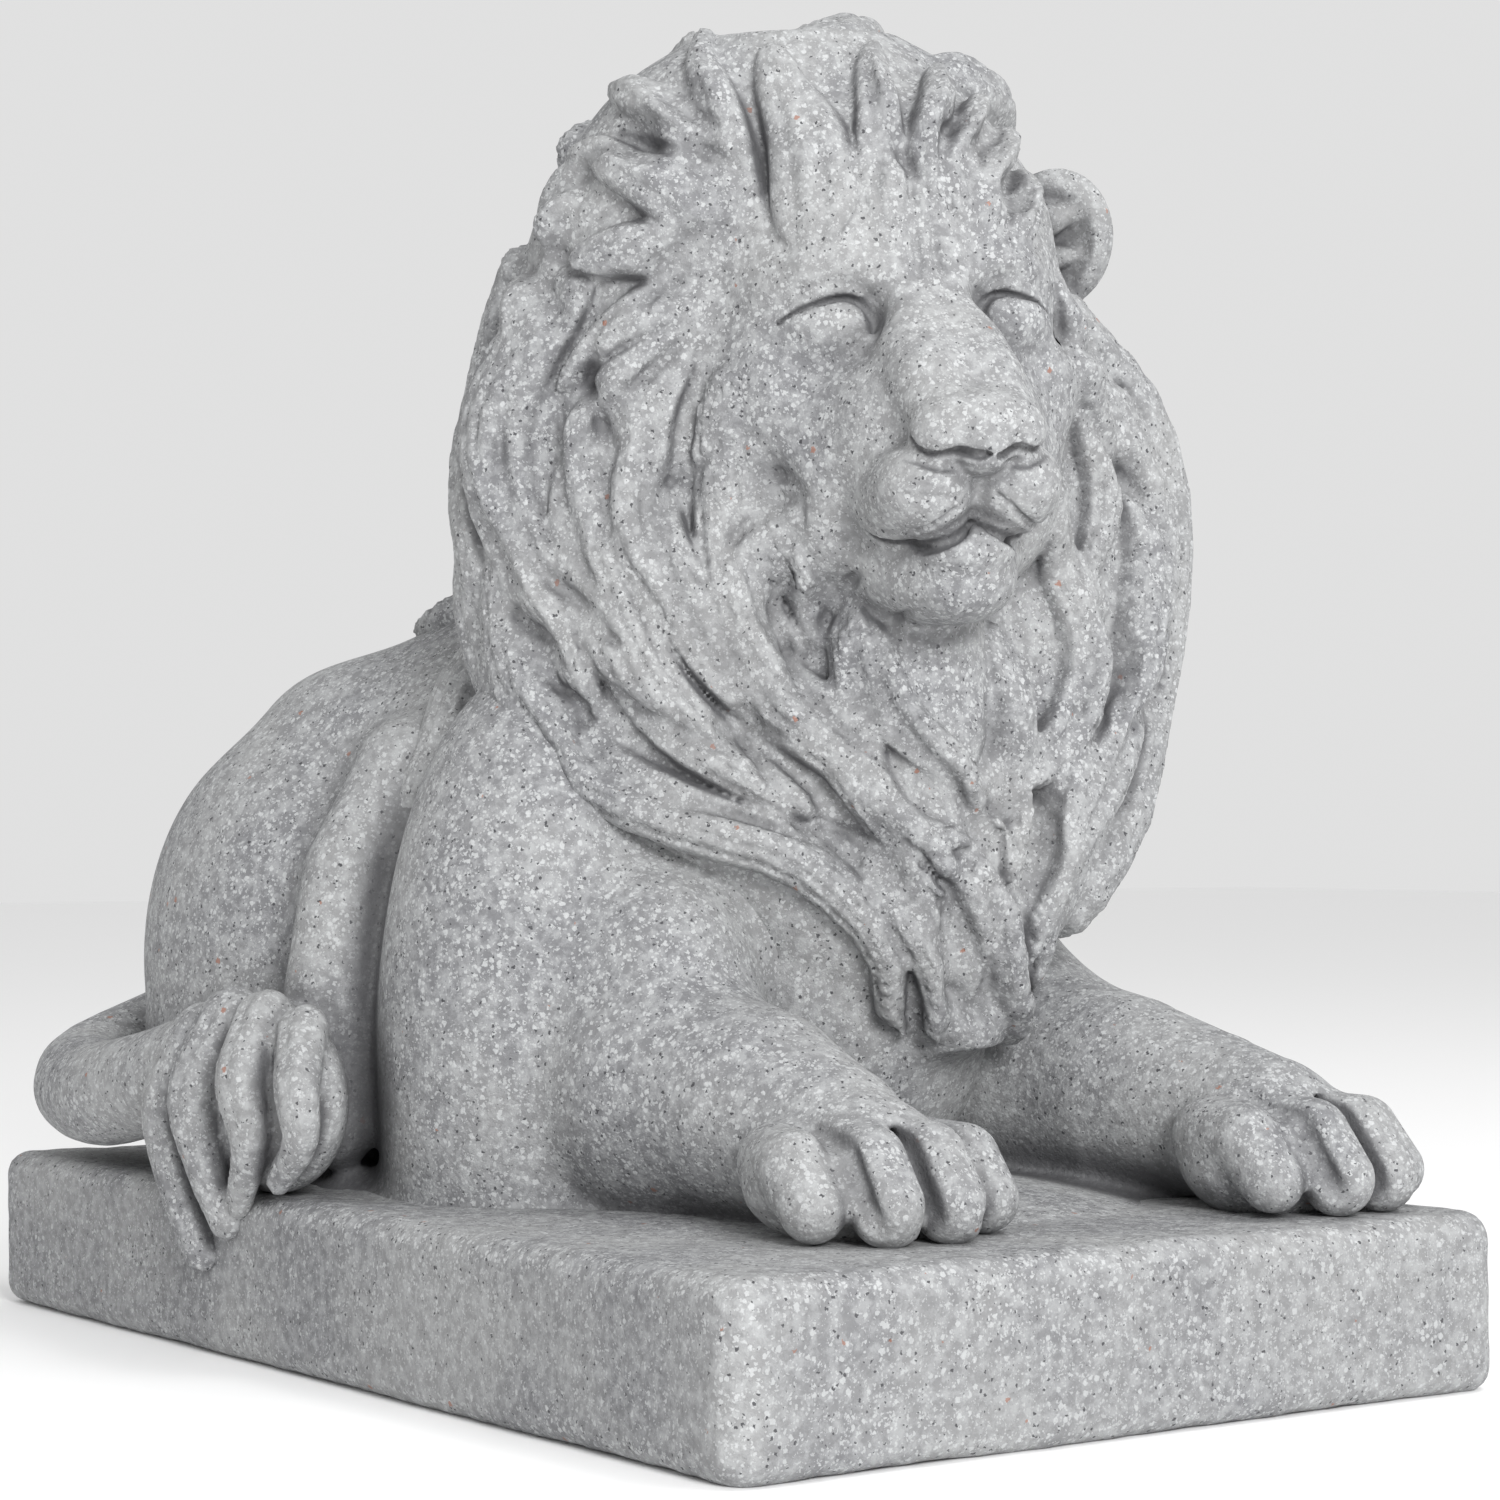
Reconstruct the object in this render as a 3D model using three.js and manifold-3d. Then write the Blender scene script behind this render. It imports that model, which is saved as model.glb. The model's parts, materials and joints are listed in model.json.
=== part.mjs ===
import * as THREE from "three";
import { mergeVertices } from "three/addons/utils/BufferGeometryUtils.js";
import Module from "manifold-3d";

// A garden statue in cast stone: a maned lion that lies on a low rectangular plinth.
// Millimetres, +Z up. The lion lies along Y and looks along -Y, its left side is +X,
// and the origin is the middle of the plinth's underside.

const plinth = {
  width: 256,
  length: 408,
  height: 48,
  edge: 6, // rounding of the top and bottom edges
  corner: 9, // rounding of the upright corners
};
const lion = {
  height: 338, // from the plinth's top to the crown
  turn: 18.75, // degrees that the head looks to the lion's right
  tilt: 4.1,
  nod: -3.8,
  sunk: 5, // how far the figure goes down into the plinth
};
const facets = {
  grain: 4, // spacing of the lattice that the figure is shaped on
  most: 8800,
};

// The figure is drawn in units: it is 338 of them high, counted from the plinth's top.
const unit = lion.height / 338;
const edgeX = -plinth.width / 2;
const degree = Math.PI / 180;
const UP = new THREE.Vector3(0, 0, 1);

// A place on the figure: x to its left, y to its back, z over the plinth's top.
function spot(x, y, z) {
  return new THREE.Vector3(x, y, z).multiplyScalar(unit).setZ(plinth.height + z * unit);
}

// A place beside the plinth's right edge, where the tail and its tuft lie.
function edgeSpot(x, y, z) {
  return spot(0, y, z).setX(edgeX + x * unit);
}

// The head's own axes: to its left, forward and up.
function headAxes() {
  const turn = lion.turn * degree;
  const left = new THREE.Vector3(Math.cos(turn), -Math.sin(turn), 0);
  const forward = new THREE.Vector3(-Math.sin(turn), -Math.cos(turn), 0);
  const up = UP.clone();
  forward.applyAxisAngle(left, -lion.nod * degree);
  up.applyAxisAngle(left, -lion.nod * degree);
  left.applyAxisAngle(forward, lion.tilt * degree);
  up.applyAxisAngle(forward, lion.tilt * degree);
  return [left, forward, up];
}

const head = { eyes: spot(4, -102, 248), axes: headAxes() };
const faceShift = 2.5; // how far the middle of the face stands to the lion's left

// A place on the head, from between the eyes.
function onHead(left, forward, up) {
  const place = head.eyes.clone();
  place.addScaledVector(head.axes[0], left * unit);
  place.addScaledVector(head.axes[1], forward * unit);
  return place.addScaledVector(head.axes[2], up * unit);
}

// The head's axes turned by degrees about its up, left and forward axes.
function turnedAxes(turn, nod = 0, tilt = 0) {
  const [left, forward, up] = head.axes.map((axis) => axis.clone());
  const about = (axis, angle, ...others) => {
    others.forEach((other) => other.applyAxisAngle(axis, angle * degree));
  };
  about(up, turn, left, forward);
  about(left, nod, forward, up);
  about(forward, tilt, up, left);
  return [left, forward, up];
}

const plainAxes = [new THREE.Vector3(1, 0, 0), new THREE.Vector3(0, 1, 0), UP];

// Shapes: each has near(x, y, z), the distance to its skin, and the box it lies in.
function shapeOf(near, low, high) {
  return { near, low, high };
}

function ellipsoid(centre, radii, axes = plainAxes) {
  const [r, s, t] = radii.map((radius) => radius * unit);
  const [a, b, c] = axes;
  const reach = new THREE.Vector3();
  for (const k of ["x", "y", "z"]) reach[k] = Math.hypot(a[k] * r, b[k] * s, c[k] * t);
  const near = (x, y, z) => {
    const px = x - centre.x;
    const py = y - centre.y;
    const pz = z - centre.z;
    const u = (px * a.x + py * a.y + pz * a.z) / r;
    const v = (px * b.x + py * b.y + pz * b.z) / s;
    const w = (px * c.x + py * c.y + pz * c.z) / t;
    const far = Math.sqrt(u * u + v * v + w * w);
    const steep = Math.hypot(u / r, v / s, w / t);
    return (far * (far - 1)) / Math.max(steep, 1e-6);
  };
  return shapeOf(near, centre.clone().sub(reach), centre.clone().add(reach));
}

function headLump(left, forward, up, radii, turn = 0, nod = 0, tilt = 0) {
  return ellipsoid(onHead(left, forward, up), radii, turnedAxes(turn, nod, tilt));
}

function faceLump(left, forward, up, radii, turn = 0, nod = 0) {
  return headLump(left + faceShift, forward, up, radii, turn, nod);
}

function boxRound(points, reaches) {
  const box = new THREE.Box3();
  points.forEach((point, i) => {
    const reach = new THREE.Vector3().setScalar(reaches[i]);
    box.expandByPoint(point.clone().add(reach));
    box.expandByPoint(point.clone().sub(reach));
  });
  return box;
}

// A chain of tapered bars through marks on the face.
function faceLimb(marks, radii) {
  const points = marks.map(([left, forward, up]) => onHead(left + faceShift, forward, up));
  return limb(points, radii);
}

// How far along the bar from p to q the place x, y, z lies, from 0 to 1.
function shareAlong(p, q, x, y, z) {
  const ex = q.x - p.x;
  const ey = q.y - p.y;
  const ez = q.z - p.z;
  const along = (x - p.x) * ex + (y - p.y) * ey + (z - p.z) * ez;
  return Math.min(Math.max(along / (ex * ex + ey * ey + ez * ez), 0), 1);
}

// A chain of round bars that taper from radius to radius.
function limb(points, radii) {
  const reaches = radii.map((radius) => radius * unit);
  const near = (x, y, z) => {
    let best = Infinity;
    for (let i = 1; i < points.length; i += 1) {
      const p = points[i - 1];
      const q = points[i];
      const t = shareAlong(p, q, x, y, z);
      const dx = x - p.x - (q.x - p.x) * t;
      const dy = y - p.y - (q.y - p.y) * t;
      const dz = z - p.z - (q.z - p.z) * t;
      const radius = reaches[i - 1] + (reaches[i] - reaches[i - 1]) * t;
      best = Math.min(best, Math.sqrt(dx * dx + dy * dy + dz * dz) - radius);
    }
    return best;
  };
  const box = boxRound(points, reaches);
  return shapeOf(near, box.min, box.max);
}

// A flattened tapering lock of hair along a path, grooved along its outer side.
function lock(points, normals, widths, heights, strands, groove) {
  const bars = [];
  for (let i = 1; i < points.length; i += 1) {
    const run = points[i].clone().sub(points[i - 1]).normalize();
    const out = normals[i - 1].clone().add(normals[i]);
    out.addScaledVector(run, -out.dot(run)).normalize();
    bars.push({ out, side: run.clone().cross(out) });
  }
  const near = (x, y, z) => {
    let best = Infinity;
    let across = 0;
    let outer = 0;
    bars.forEach(({ out, side }, i) => {
      const p = points[i];
      const q = points[i + 1];
      const t = shareAlong(p, q, x, y, z);
      const dx = x - p.x - (q.x - p.x) * t;
      const dy = y - p.y - (q.y - p.y) * t;
      const dz = z - p.z - (q.z - p.z) * t;
      const width = widths[i] + (widths[i + 1] - widths[i]) * t;
      const height = heights[i] + (heights[i + 1] - heights[i]) * t;
      const rise = dx * out.x + dy * out.y + dz * out.z;
      const far = dx * dx + dy * dy + dz * dz;
      const flat = Math.max(far - rise * rise, 0) / width ** 2;
      const share = Math.max(Math.sqrt(flat + (rise / height) ** 2), 0.08);
      const gap = share > 0.08 ? Math.sqrt(far) * (1 - 1 / share) : -height;
      if (gap < best) {
        best = gap;
        across = (dx * side.x + dy * side.y + dz * side.z) / width;
        outer = rise / height;
      }
    });
    const wave = 0.5 - 0.5 * Math.cos(Math.PI * strands * Math.min(Math.max(across, -1), 1));
    return best + groove * unit * wave * Math.min(Math.max(outer * 2 + 0.6, 0), 1);
  };
  const box = boxRound(points, widths.map((width, i) => Math.max(width, heights[i])));
  return shapeOf(near, box.min, box.max);
}

function mix(levels, height) {
  let i = 1;
  while (i < levels.length - 1 && levels[i][0] < height) i += 1;
  const [low, high] = [levels[i - 1], levels[i]];
  const t = Math.min(Math.max((height - low[0]) / (high[0] - low[0]), 0), 1);
  return low.map((value, k) => value + (high[k] - value) * t);
}

// A stack of ellipses on the head's axes. A level is its height, half width, half depth,
// and how far to the left and forward it stands.
function headStack(levels) {
  const curve = new THREE.CatmullRomCurve3(levels.map((l) => new THREE.Vector3(l[0], l[1], l[2])));
  const shift = new THREE.CatmullRomCurve3(levels.map((l) => new THREE.Vector3(l[0], l[3], l[4])));
  const steps = levels.length * 4;
  const smooth = [];
  for (let i = 0; i <= steps; i += 1) {
    const size = curve.getPoint(i / steps);
    const off = shift.getPoint(i / steps);
    smooth.push([size.x, size.y, size.z, off.y, off.z]);
  }
  const [first, last] = [levels[0][0], levels[levels.length - 1][0]];
  const [a, b, c] = head.axes;
  const near = (x, y, z) => {
    const px = (x - head.eyes.x) / unit;
    const py = (y - head.eyes.y) / unit;
    const pz = (z - head.eyes.z) / unit;
    const height = px * c.x + py * c.y + pz * c.z;
    const [, width, depth, left, forward] = mix(smooth, height);
    const u = (px * a.x + py * a.y + pz * a.z - left) / width;
    const v = (px * b.x + py * b.y + pz * b.z - forward) / depth;
    const far = Math.hypot(u, v);
    const steep = Math.max(Math.hypot(u / width, v / depth), 1e-6);
    const side = far < 0.25 ? -0.75 * Math.min(width, depth) : (far * (far - 1)) / steep;
    return Math.max(side, first - height, height - last) * unit;
  };
  const widest = Math.max(...smooth.map(([, width, , left]) => width + Math.abs(left)));
  const deepest = Math.max(...smooth.map(([, , depth, , forward]) => depth + Math.abs(forward)));
  const corners = [];
  for (const left of [-widest, widest]) {
    for (const forward of [-deepest, deepest]) {
      corners.push(onHead(left, forward, first), onHead(left, forward, last));
    }
  }
  const box = new THREE.Box3().setFromPoints(corners);
  return shapeOf(near, box.min, box.max);
}

// A box whose faces stand at low and high.
function block(low, high) {
  const near = (x, y, z) => {
    return Math.max(low.x - x, x - high.x, low.y - y, y - high.y, low.z - z, z - high.z);
  };
  return shapeOf(near, low, high);
}

function softMin(a, b, seam) {
  const share = Math.max(seam - Math.abs(a - b), 0) / seam;
  return Math.min(a, b) - share * share * seam * 0.25;
}

// The figure is shaped as clay: a lattice of distances to its skin, less than 0 inside.
class Clay {
  constructor(low, high, grain) {
    this.low = low;
    this.grain = grain;
    this.count = high.clone().sub(low).divideScalar(grain).ceil().addScalar(1);
    this.rows = this.count.y * this.count.z;
    this.field = new Float32Array(this.count.x * this.rows).fill(30 * unit);
  }

  copy() {
    const other = Object.assign(Object.create(Clay.prototype), this);
    other.field = this.field.slice();
    return other;
  }

  // Visits each lattice point in a shape's box, and the seam's width round it.
  shape(shape, seam, change) {
    const { low, grain, count, rows, field } = this;
    const pad = seam + 2 * grain;
    const from = {};
    const to = {};
    for (const k of ["x", "y", "z"]) {
      from[k] = Math.max(0, Math.floor((shape.low[k] - pad - low[k]) / grain));
      to[k] = Math.min(count[k] - 1, Math.ceil((shape.high[k] + pad - low[k]) / grain));
    }
    for (let i = from.x; i <= to.x; i += 1) {
      const x = low.x + i * grain;
      for (let j = from.y; j <= to.y; j += 1) {
        const y = low.y + j * grain;
        for (let k = from.z; k <= to.z; k += 1) {
          const at = i * rows + j * count.z + k;
          field[at] = change(field[at], shape.near(x, y, low.z + k * grain));
        }
      }
    }
  }

  add(shape, seam) {
    this.shape(shape, seam * unit, (old, near) => softMin(old, near, seam * unit));
  }

  cut(shape, seam) {
    this.shape(shape, seam * unit, (old, near) => -softMin(-old, near, seam * unit));
  }

  // Leaves no clay on the faces of the lattice, so that the skin closes inside it.
  close() {
    const { count, rows, field, grain } = this;
    for (let at = 0; at < field.length; at += 1) {
      const i = Math.floor(at / rows);
      const j = Math.floor((at % rows) / count.z);
      const k = at % count.z;
      const first = Math.min(i, j, k) === 0;
      const last = i === count.x - 1 || j === count.y - 1 || k === count.z - 1;
      if (first || last) field[at] = Math.max(field[at], grain / 2);
    }
  }

  valueAt(x, y, z) {
    const { low, grain, count, rows, field } = this;
    const cellOf = (place, most) => Math.min(Math.max(Math.floor(place), 0), most - 2);
    const px = (x - low.x) / grain;
    const py = (y - low.y) / grain;
    const pz = (z - low.z) / grain;
    const i = cellOf(px, count.x);
    const j = cellOf(py, count.y);
    const k = cellOf(pz, count.z);
    const { lerp, clamp } = THREE.MathUtils;
    const [tx, ty, tz] = [clamp(px - i, 0, 1), clamp(py - j, 0, 1), clamp(pz - k, 0, 1)];
    const line = (at) => lerp(field[at], field[at + 1], tz);
    const sheet = (at) => lerp(line(at), line(at + count.z), ty);
    const corner = i * rows + j * count.z + k;
    return lerp(sheet(corner), sheet(corner + rows), tx);
  }

  // The way out of the clay at a place.
  slopeAt(p, step = 4 * unit) {
    const way = new THREE.Vector3(
      this.valueAt(p.x + step, p.y, p.z) - this.valueAt(p.x - step, p.y, p.z),
      this.valueAt(p.x, p.y + step, p.z) - this.valueAt(p.x, p.y - step, p.z),
      this.valueAt(p.x, p.y, p.z + step) - this.valueAt(p.x, p.y, p.z - step),
    );
    return way.normalize();
  }

  // The place on the skin beside p, raised by lift.
  onto(p, lift) {
    const place = p.clone();
    for (let i = 0; i < 4; i += 1) {
      const gap = this.valueAt(place.x, place.y, place.z) - lift * unit;
      place.addScaledVector(this.slopeAt(place), -gap);
    }
    return place;
  }
}

// Rump, loins, ribs and shoulders, and the low mound under them.
function addTrunk(clay) {
  clay.add(ellipsoid(spot(-15, 112, 60), [83, 75, 78]), 8);
  clay.add(ellipsoid(spot(-2, 75, 76), [80, 85, 80]), 20);
  clay.add(ellipsoid(spot(8, 20, 78), [78, 80, 86]), 20);
  clay.add(ellipsoid(spot(18, -22, 76), [74, 52, 80]), 18);
  clay.add(ellipsoid(spot(-6, 58, -20), [112, 156, 34]), 12);
  clay.add(ellipsoid(spot(20, -70, -22), [100, 120, 29]), 10);
}

// On each side a hip, a thigh, the fold before it and the belly.
function addHaunches(clay) {
  const middle = -14;
  for (const side of [-1, 1]) {
    const out = (x, y, z) => spot(middle + side * x, y, z);
    clay.add(ellipsoid(out(42, 106, 112), [36, 46, 36]), 16);
    clay.add(ellipsoid(out(60, 108, 64), [40, 60, 70]), 10);
    clay.add(ellipsoid(out(70, 100, 30), [30, 58, 36]), 10);
    const fold = [out(58, 46, 124), out(76, 44, 92), out(84, 40, 56), out(84, 38, 20)];
    clay.add(limb(fold, [10, 12, 13, 12]), 16);
    clay.add(ellipsoid(out(44, -8, 44), [44, 46, 106]), 12);
    const flank = [out(76, 26, 128), out(92, 24, 92), out(98, 22, 52), out(96, 20, 22)];
    clay.cut(limb(flank, [3, 4, 4, 3]), 8);
  }
}

// A paw with four toes; its height is at the wrist and turn is in degrees outwards.
function addPaw(clay, x, y, height, turn) {
  const angle = turn * degree;
  const axes = [
    new THREE.Vector3(Math.cos(angle), Math.sin(angle), 0),
    new THREE.Vector3(Math.sin(angle), -Math.cos(angle), 0),
    UP,
  ];
  const onPaw = (across, forward, up) => {
    const place = spot(x, y, up * height);
    place.addScaledVector(axes[0], across * unit);
    return place.addScaledVector(axes[1], forward * unit);
  };
  clay.add(ellipsoid(onPaw(0, 0, 0.42), [33, 24, height * 0.55], axes), 8);
  for (const [across, forward, radius] of [[-25, 6, 10], [-9, 15, 11.5], [9, 15, 11.5], [25, 6, 10]]) {
    const toe = [
      onPaw(across * 0.85, forward - 14, 0.62),
      onPaw(across, forward + 2, 0.6),
      onPaw(across * 1.03, forward + 12, 0.3),
    ];
    clay.add(limb(toe, [radius, radius, radius * 0.86]), 2.5);
  }
  for (const across of [-17, 0, 17]) {
    const gap = [onPaw(across, 2, 0.95), onPaw(across, 20, 0.8), onPaw(across, 33, 0.2)];
    clay.cut(limb(gap, [1.5, 2.2, 2.4]), 3.5);
  }
}

function addForelegs(clay) {
  clay.add(ellipsoid(spot(-44, -46, 60), [29, 33, 34]), 10);
  clay.add(ellipsoid(spot(-50, -58, 30), [28, 30, 32]), 10);
  const right = [spot(-48, -62, 34), spot(-43, -95, 28), spot(-41, -125, 21), spot(-42, -142, 18)];
  clay.add(limb(right, [31, 28, 22, 18]), 10);
  const armpit = [spot(-88, -56, 100), spot(-92, -58, 60), spot(-94, -60, 22)];
  clay.cut(limb(armpit, [5, 8, 6]), 10);
  clay.add(ellipsoid(spot(80, -30, 48), [34, 42, 38]), 14);
  clay.add(ellipsoid(spot(82, -54, 32), [32, 38, 32]), 12);
  const left = [spot(84, -60, 32), spot(86, -98, 28), spot(87, -130, 24), spot(86, -152, 22)];
  clay.add(limb(left, [31, 28, 23, 19]), 10);
  addPaw(clay, -43, -142, 30, -6);
  addPaw(clay, 86, -157, 37, 6);
}

// Each strand of the tail's tuft: marks beside the plinth's edge, and its half width.
const tuft = [
  { marks: [[4, 68, 42], [-3, 73, 24], [-3, 69, 4], [-2, 58, -16]], width: 10 },
  { marks: [[3, 50, 48], [-6, 52, 28], [-4, 48, 10], [-2, 42, -2]], width: 9 },
  { marks: [[4, 32, 49], [-6, 22, 34], [-4, 20, 18], [-1, 32, 6]], width: 9 },
  { marks: [[7, 14, 46], [-1, 2, 32], [0, 0, 20], [0, 12, 10]], width: 8 },
];

// The tail comes round the rump and along the plinth's edge, and its tuft hangs over the side.
function addTail(clay) {
  const marks = [
    spot(-20, 178, 64),
    spot(-62, 190, 44),
    edgeSpot(22, 180, 28),
    edgeSpot(8, 142, 22),
    edgeSpot(7, 104, 28),
    edgeSpot(8, 70, 36),
  ];
  const path = new THREE.CatmullRomCurve3(marks).getPoints(21);
  clay.add(limb(path, path.map((p, i) => 18 - (3 * i) / 21)), 6);
  clay.add(ellipsoid(edgeSpot(10, 36, 27), [14, 36, 27]), 8);
  const outward = new THREE.Vector3(-1, 0, 0.2).normalize();
  for (const strand of tuft) {
    const line = new THREE.CatmullRomCurve3(strand.marks.map((mark) => edgeSpot(...mark)));
    const points = line.getPoints(11);
    const widths = points.map((p, i) => strand.width * (1 - (0.5 * i) / 11) * unit);
    const heights = widths.map((width) => width * 0.8);
    clay.add(lock(points, points.map(() => outward), widths, heights, 3, 1.2), 2);
  }
}

// The mass of hair under the locks, from the beard's tip to the crown.
const maneLevels = [
  [-206, 9, 9, 10, -8],
  [-192, 20, 14, 8, -12],
  [-176, 42, 22, 4, -20],
  [-160, 62, 34, 0, -32],
  [-145, 80, 46, -4, -46],
  [-120, 93, 55, -6, -60],
  [-90, 101, 55, -5, -66],
  [-55, 103, 52, -5, -67],
  [-25, 98, 51, -7, -66],
  [5, 82, 50, -10, -65],
  [30, 72, 47, -8, -61],
  [52, 57, 41, -12, -56],
  [68, 41, 31, -16, -51],
  [78, 20, 17, -18, -49],
];

function addManeMass(clay) {
  clay.add(headStack(maneLevels), 10);
  clay.add(headLump(-6, -96, -34, [82, 56, 84]), 16);
  clay.add(ellipsoid(spot(24, -52, 62), [46, 34, 60]), 14);
  const beard = [onHead(0, -12, -88), onHead(2, -10, -130), onHead(5, -10, -165), onHead(9, -8, -195)];
  clay.add(limb(beard, [20, 21, 16, 9]), 14);
  clay.add(ellipsoid(spot(14, 8, 168), [60, 62, 56]), 18);
}

function addSkull(clay) {
  clay.add(faceLump(0, -34, 4, [52, 42, 46]), 6);
  clay.add(faceLump(0, -18, 18, [36, 24, 26]), 8);
  clay.add(faceLump(0, -26, 42, [36, 26, 22]), 8);
  for (const side of [-1, 1]) {
    const brow = [[side * 8, -5, 13], [side * 20, -6, 14], [side * 34, -15, 9]];
    clay.add(faceLimb(brow, [10, 9, 9]), 9);
    clay.add(faceLump(side * 32, -20, -22, [21, 22, 25]), 10);
    clay.add(faceLump(side * 25, -16, -48, [19, 26, 28]), 10);
    clay.add(faceLump(side * 17, 0, -36, [15, 26, 22]), 10);
  }
}

// The bridge of the nose, the cheeks with whiskers, the nose, the chin and the jaw.
function addMuzzle(clay) {
  for (const side of [-1, 1]) {
    const bridge = [[side * 4, -9, 10], [side * 6, 6, -6], [side * 8, 28, -24], [side * 8.5, 38, -33]];
    clay.add(faceLimb(bridge, [12, 11.5, 11, 8.5]), 8);
  }
  clay.add(faceLump(0, 12, -46, [22, 28, 20]), 8);
  for (const side of [-1, 1]) {
    clay.add(faceLump(side * 12.5, 32, -51, [13.5, 14.5, 12.5], side * 14), 3);
    clay.add(faceLump(side * 16, 18, -53, [10.5, 17, 13], side * 10), 5);
  }
  clay.add(faceLump(0, 43, -35, [17.5, 10, 8.5], 0, -22), 4);
  for (const side of [-1, 1]) clay.add(faceLump(side * 12, 42, -38, [6.5, 9, 6]), 2.5);
  clay.add(faceLump(0, 26, -75, [15.5, 13, 12]), 3);
  clay.add(faceLump(0, 12, -76, [15, 20, 12]), 6);
  for (const side of [-1, 1]) {
    const jaw = [[side * 9, 14, -74], [side * 16, -2, -69], [side * 24, -18, -60]];
    clay.add(faceLimb(jaw, [10, 11, 13]), 8);
    const lips = [[0, 45, -60], [side * 8, 42, -64], [side * 16, 34, -67], [side * 23, 20, -64]];
    clay.cut(faceLimb(lips, [1.5, 2.2, 2.2, 1.5]), 2);
  }
}

// The hollow between the face and the mane.
function carveCheeks(clay) {
  for (const side of [-1, 1]) {
    const band = [
      [side * 36, -24, 6],
      [side * 36, -24, -8],
      [side * 33, -21, -20],
      [side * 31, -18, -31],
      [side * 27, -14, -41],
      [side * 23, -9, -52],
      [side * 20, -3, -62],
    ];
    clay.cut(faceLimb(band, [4, 7, 9, 9, 8, 6, 3]), 12);
  }
}

function addEyes(clay) {
  for (const side of [-1, 1]) {
    clay.cut(faceLump(side * 25, 12, -2, [14, 8, 8], -side * 20), 8);
    clay.add(faceLump(side * 25.5, -5, -7, [14, 13, 12]), 3);
    const brow = [[side * 14, 2, 6], [side * 22, 4, 9.5], [side * 31, 0, 8.5], [side * 38, -9, 3]];
    clay.add(faceLimb(brow, [3, 4, 4, 3]), 5);
  }
}

// The far ear stands free of the mane, and hair covers the near one.
function addEars(clay) {
  for (const side of [-1, 1]) {
    const axes = turnedAxes(-side * 25, 10, -side * 10);
    const ear = onHead(side * 69, -62, 22);
    const rise = (share) => ear.clone().addScaledVector(axes[1], share * unit);
    clay.add(ellipsoid(ear, [17.5, 9, 21], axes), 3);
    if (side > 0) clay.cut(ellipsoid(rise(9), [12.5, 7.5, 16], axes), 2.5);
    else clay.add(ellipsoid(rise(4), [16, 9, 20], axes), 4);
  }
}

// The mane is charted round the face: an angle, 0 at the crown, -90 at the lion's right and
// 180 at the beard, and a reach, 0 at the hairline, 1 at the rim and 2 on the nape.
const hairline = { crown: 60, side: 57, jowl: 66, beard: 78 };
const rim = { crown: 98, side: 98, jowl: 124, beard: 182 };
const rimBack = { crown: 44, side: 54, jowl: 44, beard: 0 };

function round(sizes, angle) {
  const marks = [
    [0, sizes.crown],
    [80, sizes.side],
    [130, sizes.jowl],
    [180, sizes.beard],
  ];
  return mix(marks, Math.abs(angle))[1];
}

function chart(angle, reach) {
  const inner = round(hairline, angle);
  const outer = round(rim, angle);
  const back = round(rimBack, angle);
  const past = Math.max(reach - 1, 0);
  const radius = past ? outer - 30 * past ** 2 : inner + (outer - inner) * reach;
  const forward = past ? -6 - back - 62 * past : -6 - back * reach ** 2;
  return onHead(radius * Math.sin(angle * degree), forward, -20 + radius * Math.cos(angle * degree));
}

// A lock's fullness, from its root at 0 to its tip at 1.
function fullness(t) {
  return Math.sqrt(Math.min(1, (t + 0.08) / 0.25)) * (1 - t) ** 0.5 + 0.16;
}

function lockAlong(clay, path, width, height) {
  const fat = path.map((p, i) => fullness(i / (path.length - 1)));
  const normals = path.map((p) => clay.slopeAt(p, 6 * unit));
  const widths = fat.map((share) => share * width * unit);
  const heights = fat.map((share) => (0.25 + 0.75 * share) * height * unit);
  return lock(path, normals, widths, heights, 3, 1);
}

// A lock through marks on the chart.
function chartLock(clay, marks, width, height) {
  const line = new THREE.SplineCurve(marks.map(([angle, reach]) => new THREE.Vector2(angle, reach)));
  const path = line.getPoints(16).map((mark) => clay.onto(chart(mark.x, mark.y), 1));
  return lockAlong(clay, path, width, height);
}

// The way that loose hair runs at a place on the sides and the nape.
function flow(place, run) {
  const from = place.clone().sub(head.eyes).divideScalar(unit);
  const [left, forward, up] = head.axes.map((axis) => from.dot(axis));
  const out = new THREE.Vector3();
  out.addScaledVector(head.axes[0], left);
  out.addScaledVector(head.axes[2], up + 20).normalize();
  const leave = Math.exp(-run / 30);
  const high = 1 / (1 + Math.exp((10 - up) / 12));
  const way = out.multiplyScalar(0.9 * leave + 0.7 * high);
  way.addScaledVector(head.axes[1], -0.5 * leave - 0.9 * high);
  way.addScaledVector(UP, -1.1 * (1 - 0.8 * high));
  const front = 1 / (1 + Math.exp((forward + 60) / -12));
  const middle = new THREE.Vector3(0, -110, 0).multiplyScalar(unit).sub(place).setZ(0).normalize();
  return way.addScaledVector(middle, (front - 0.25) * (1 - high)).normalize();
}

// A lock that grows from a root along the flow, and sways on its way.
function looseLock(clay, root, length, width, height, phase) {
  const steps = 12;
  const step = length / steps;
  const path = [clay.onto(root, 1)];
  for (let i = 0; i < steps; i += 1) {
    const place = path[i];
    const out = clay.slopeAt(place);
    const way = flow(place, i * step);
    way.addScaledVector(out, -way.dot(out)).normalize();
    way.applyAxisAngle(out, 0.5 * Math.sin(phase + (i / steps) * 2 * Math.PI));
    path.push(clay.onto(place.clone().addScaledVector(way, step * unit), 1));
  }
  return lockAlong(clay, path, width, height);
}

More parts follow.
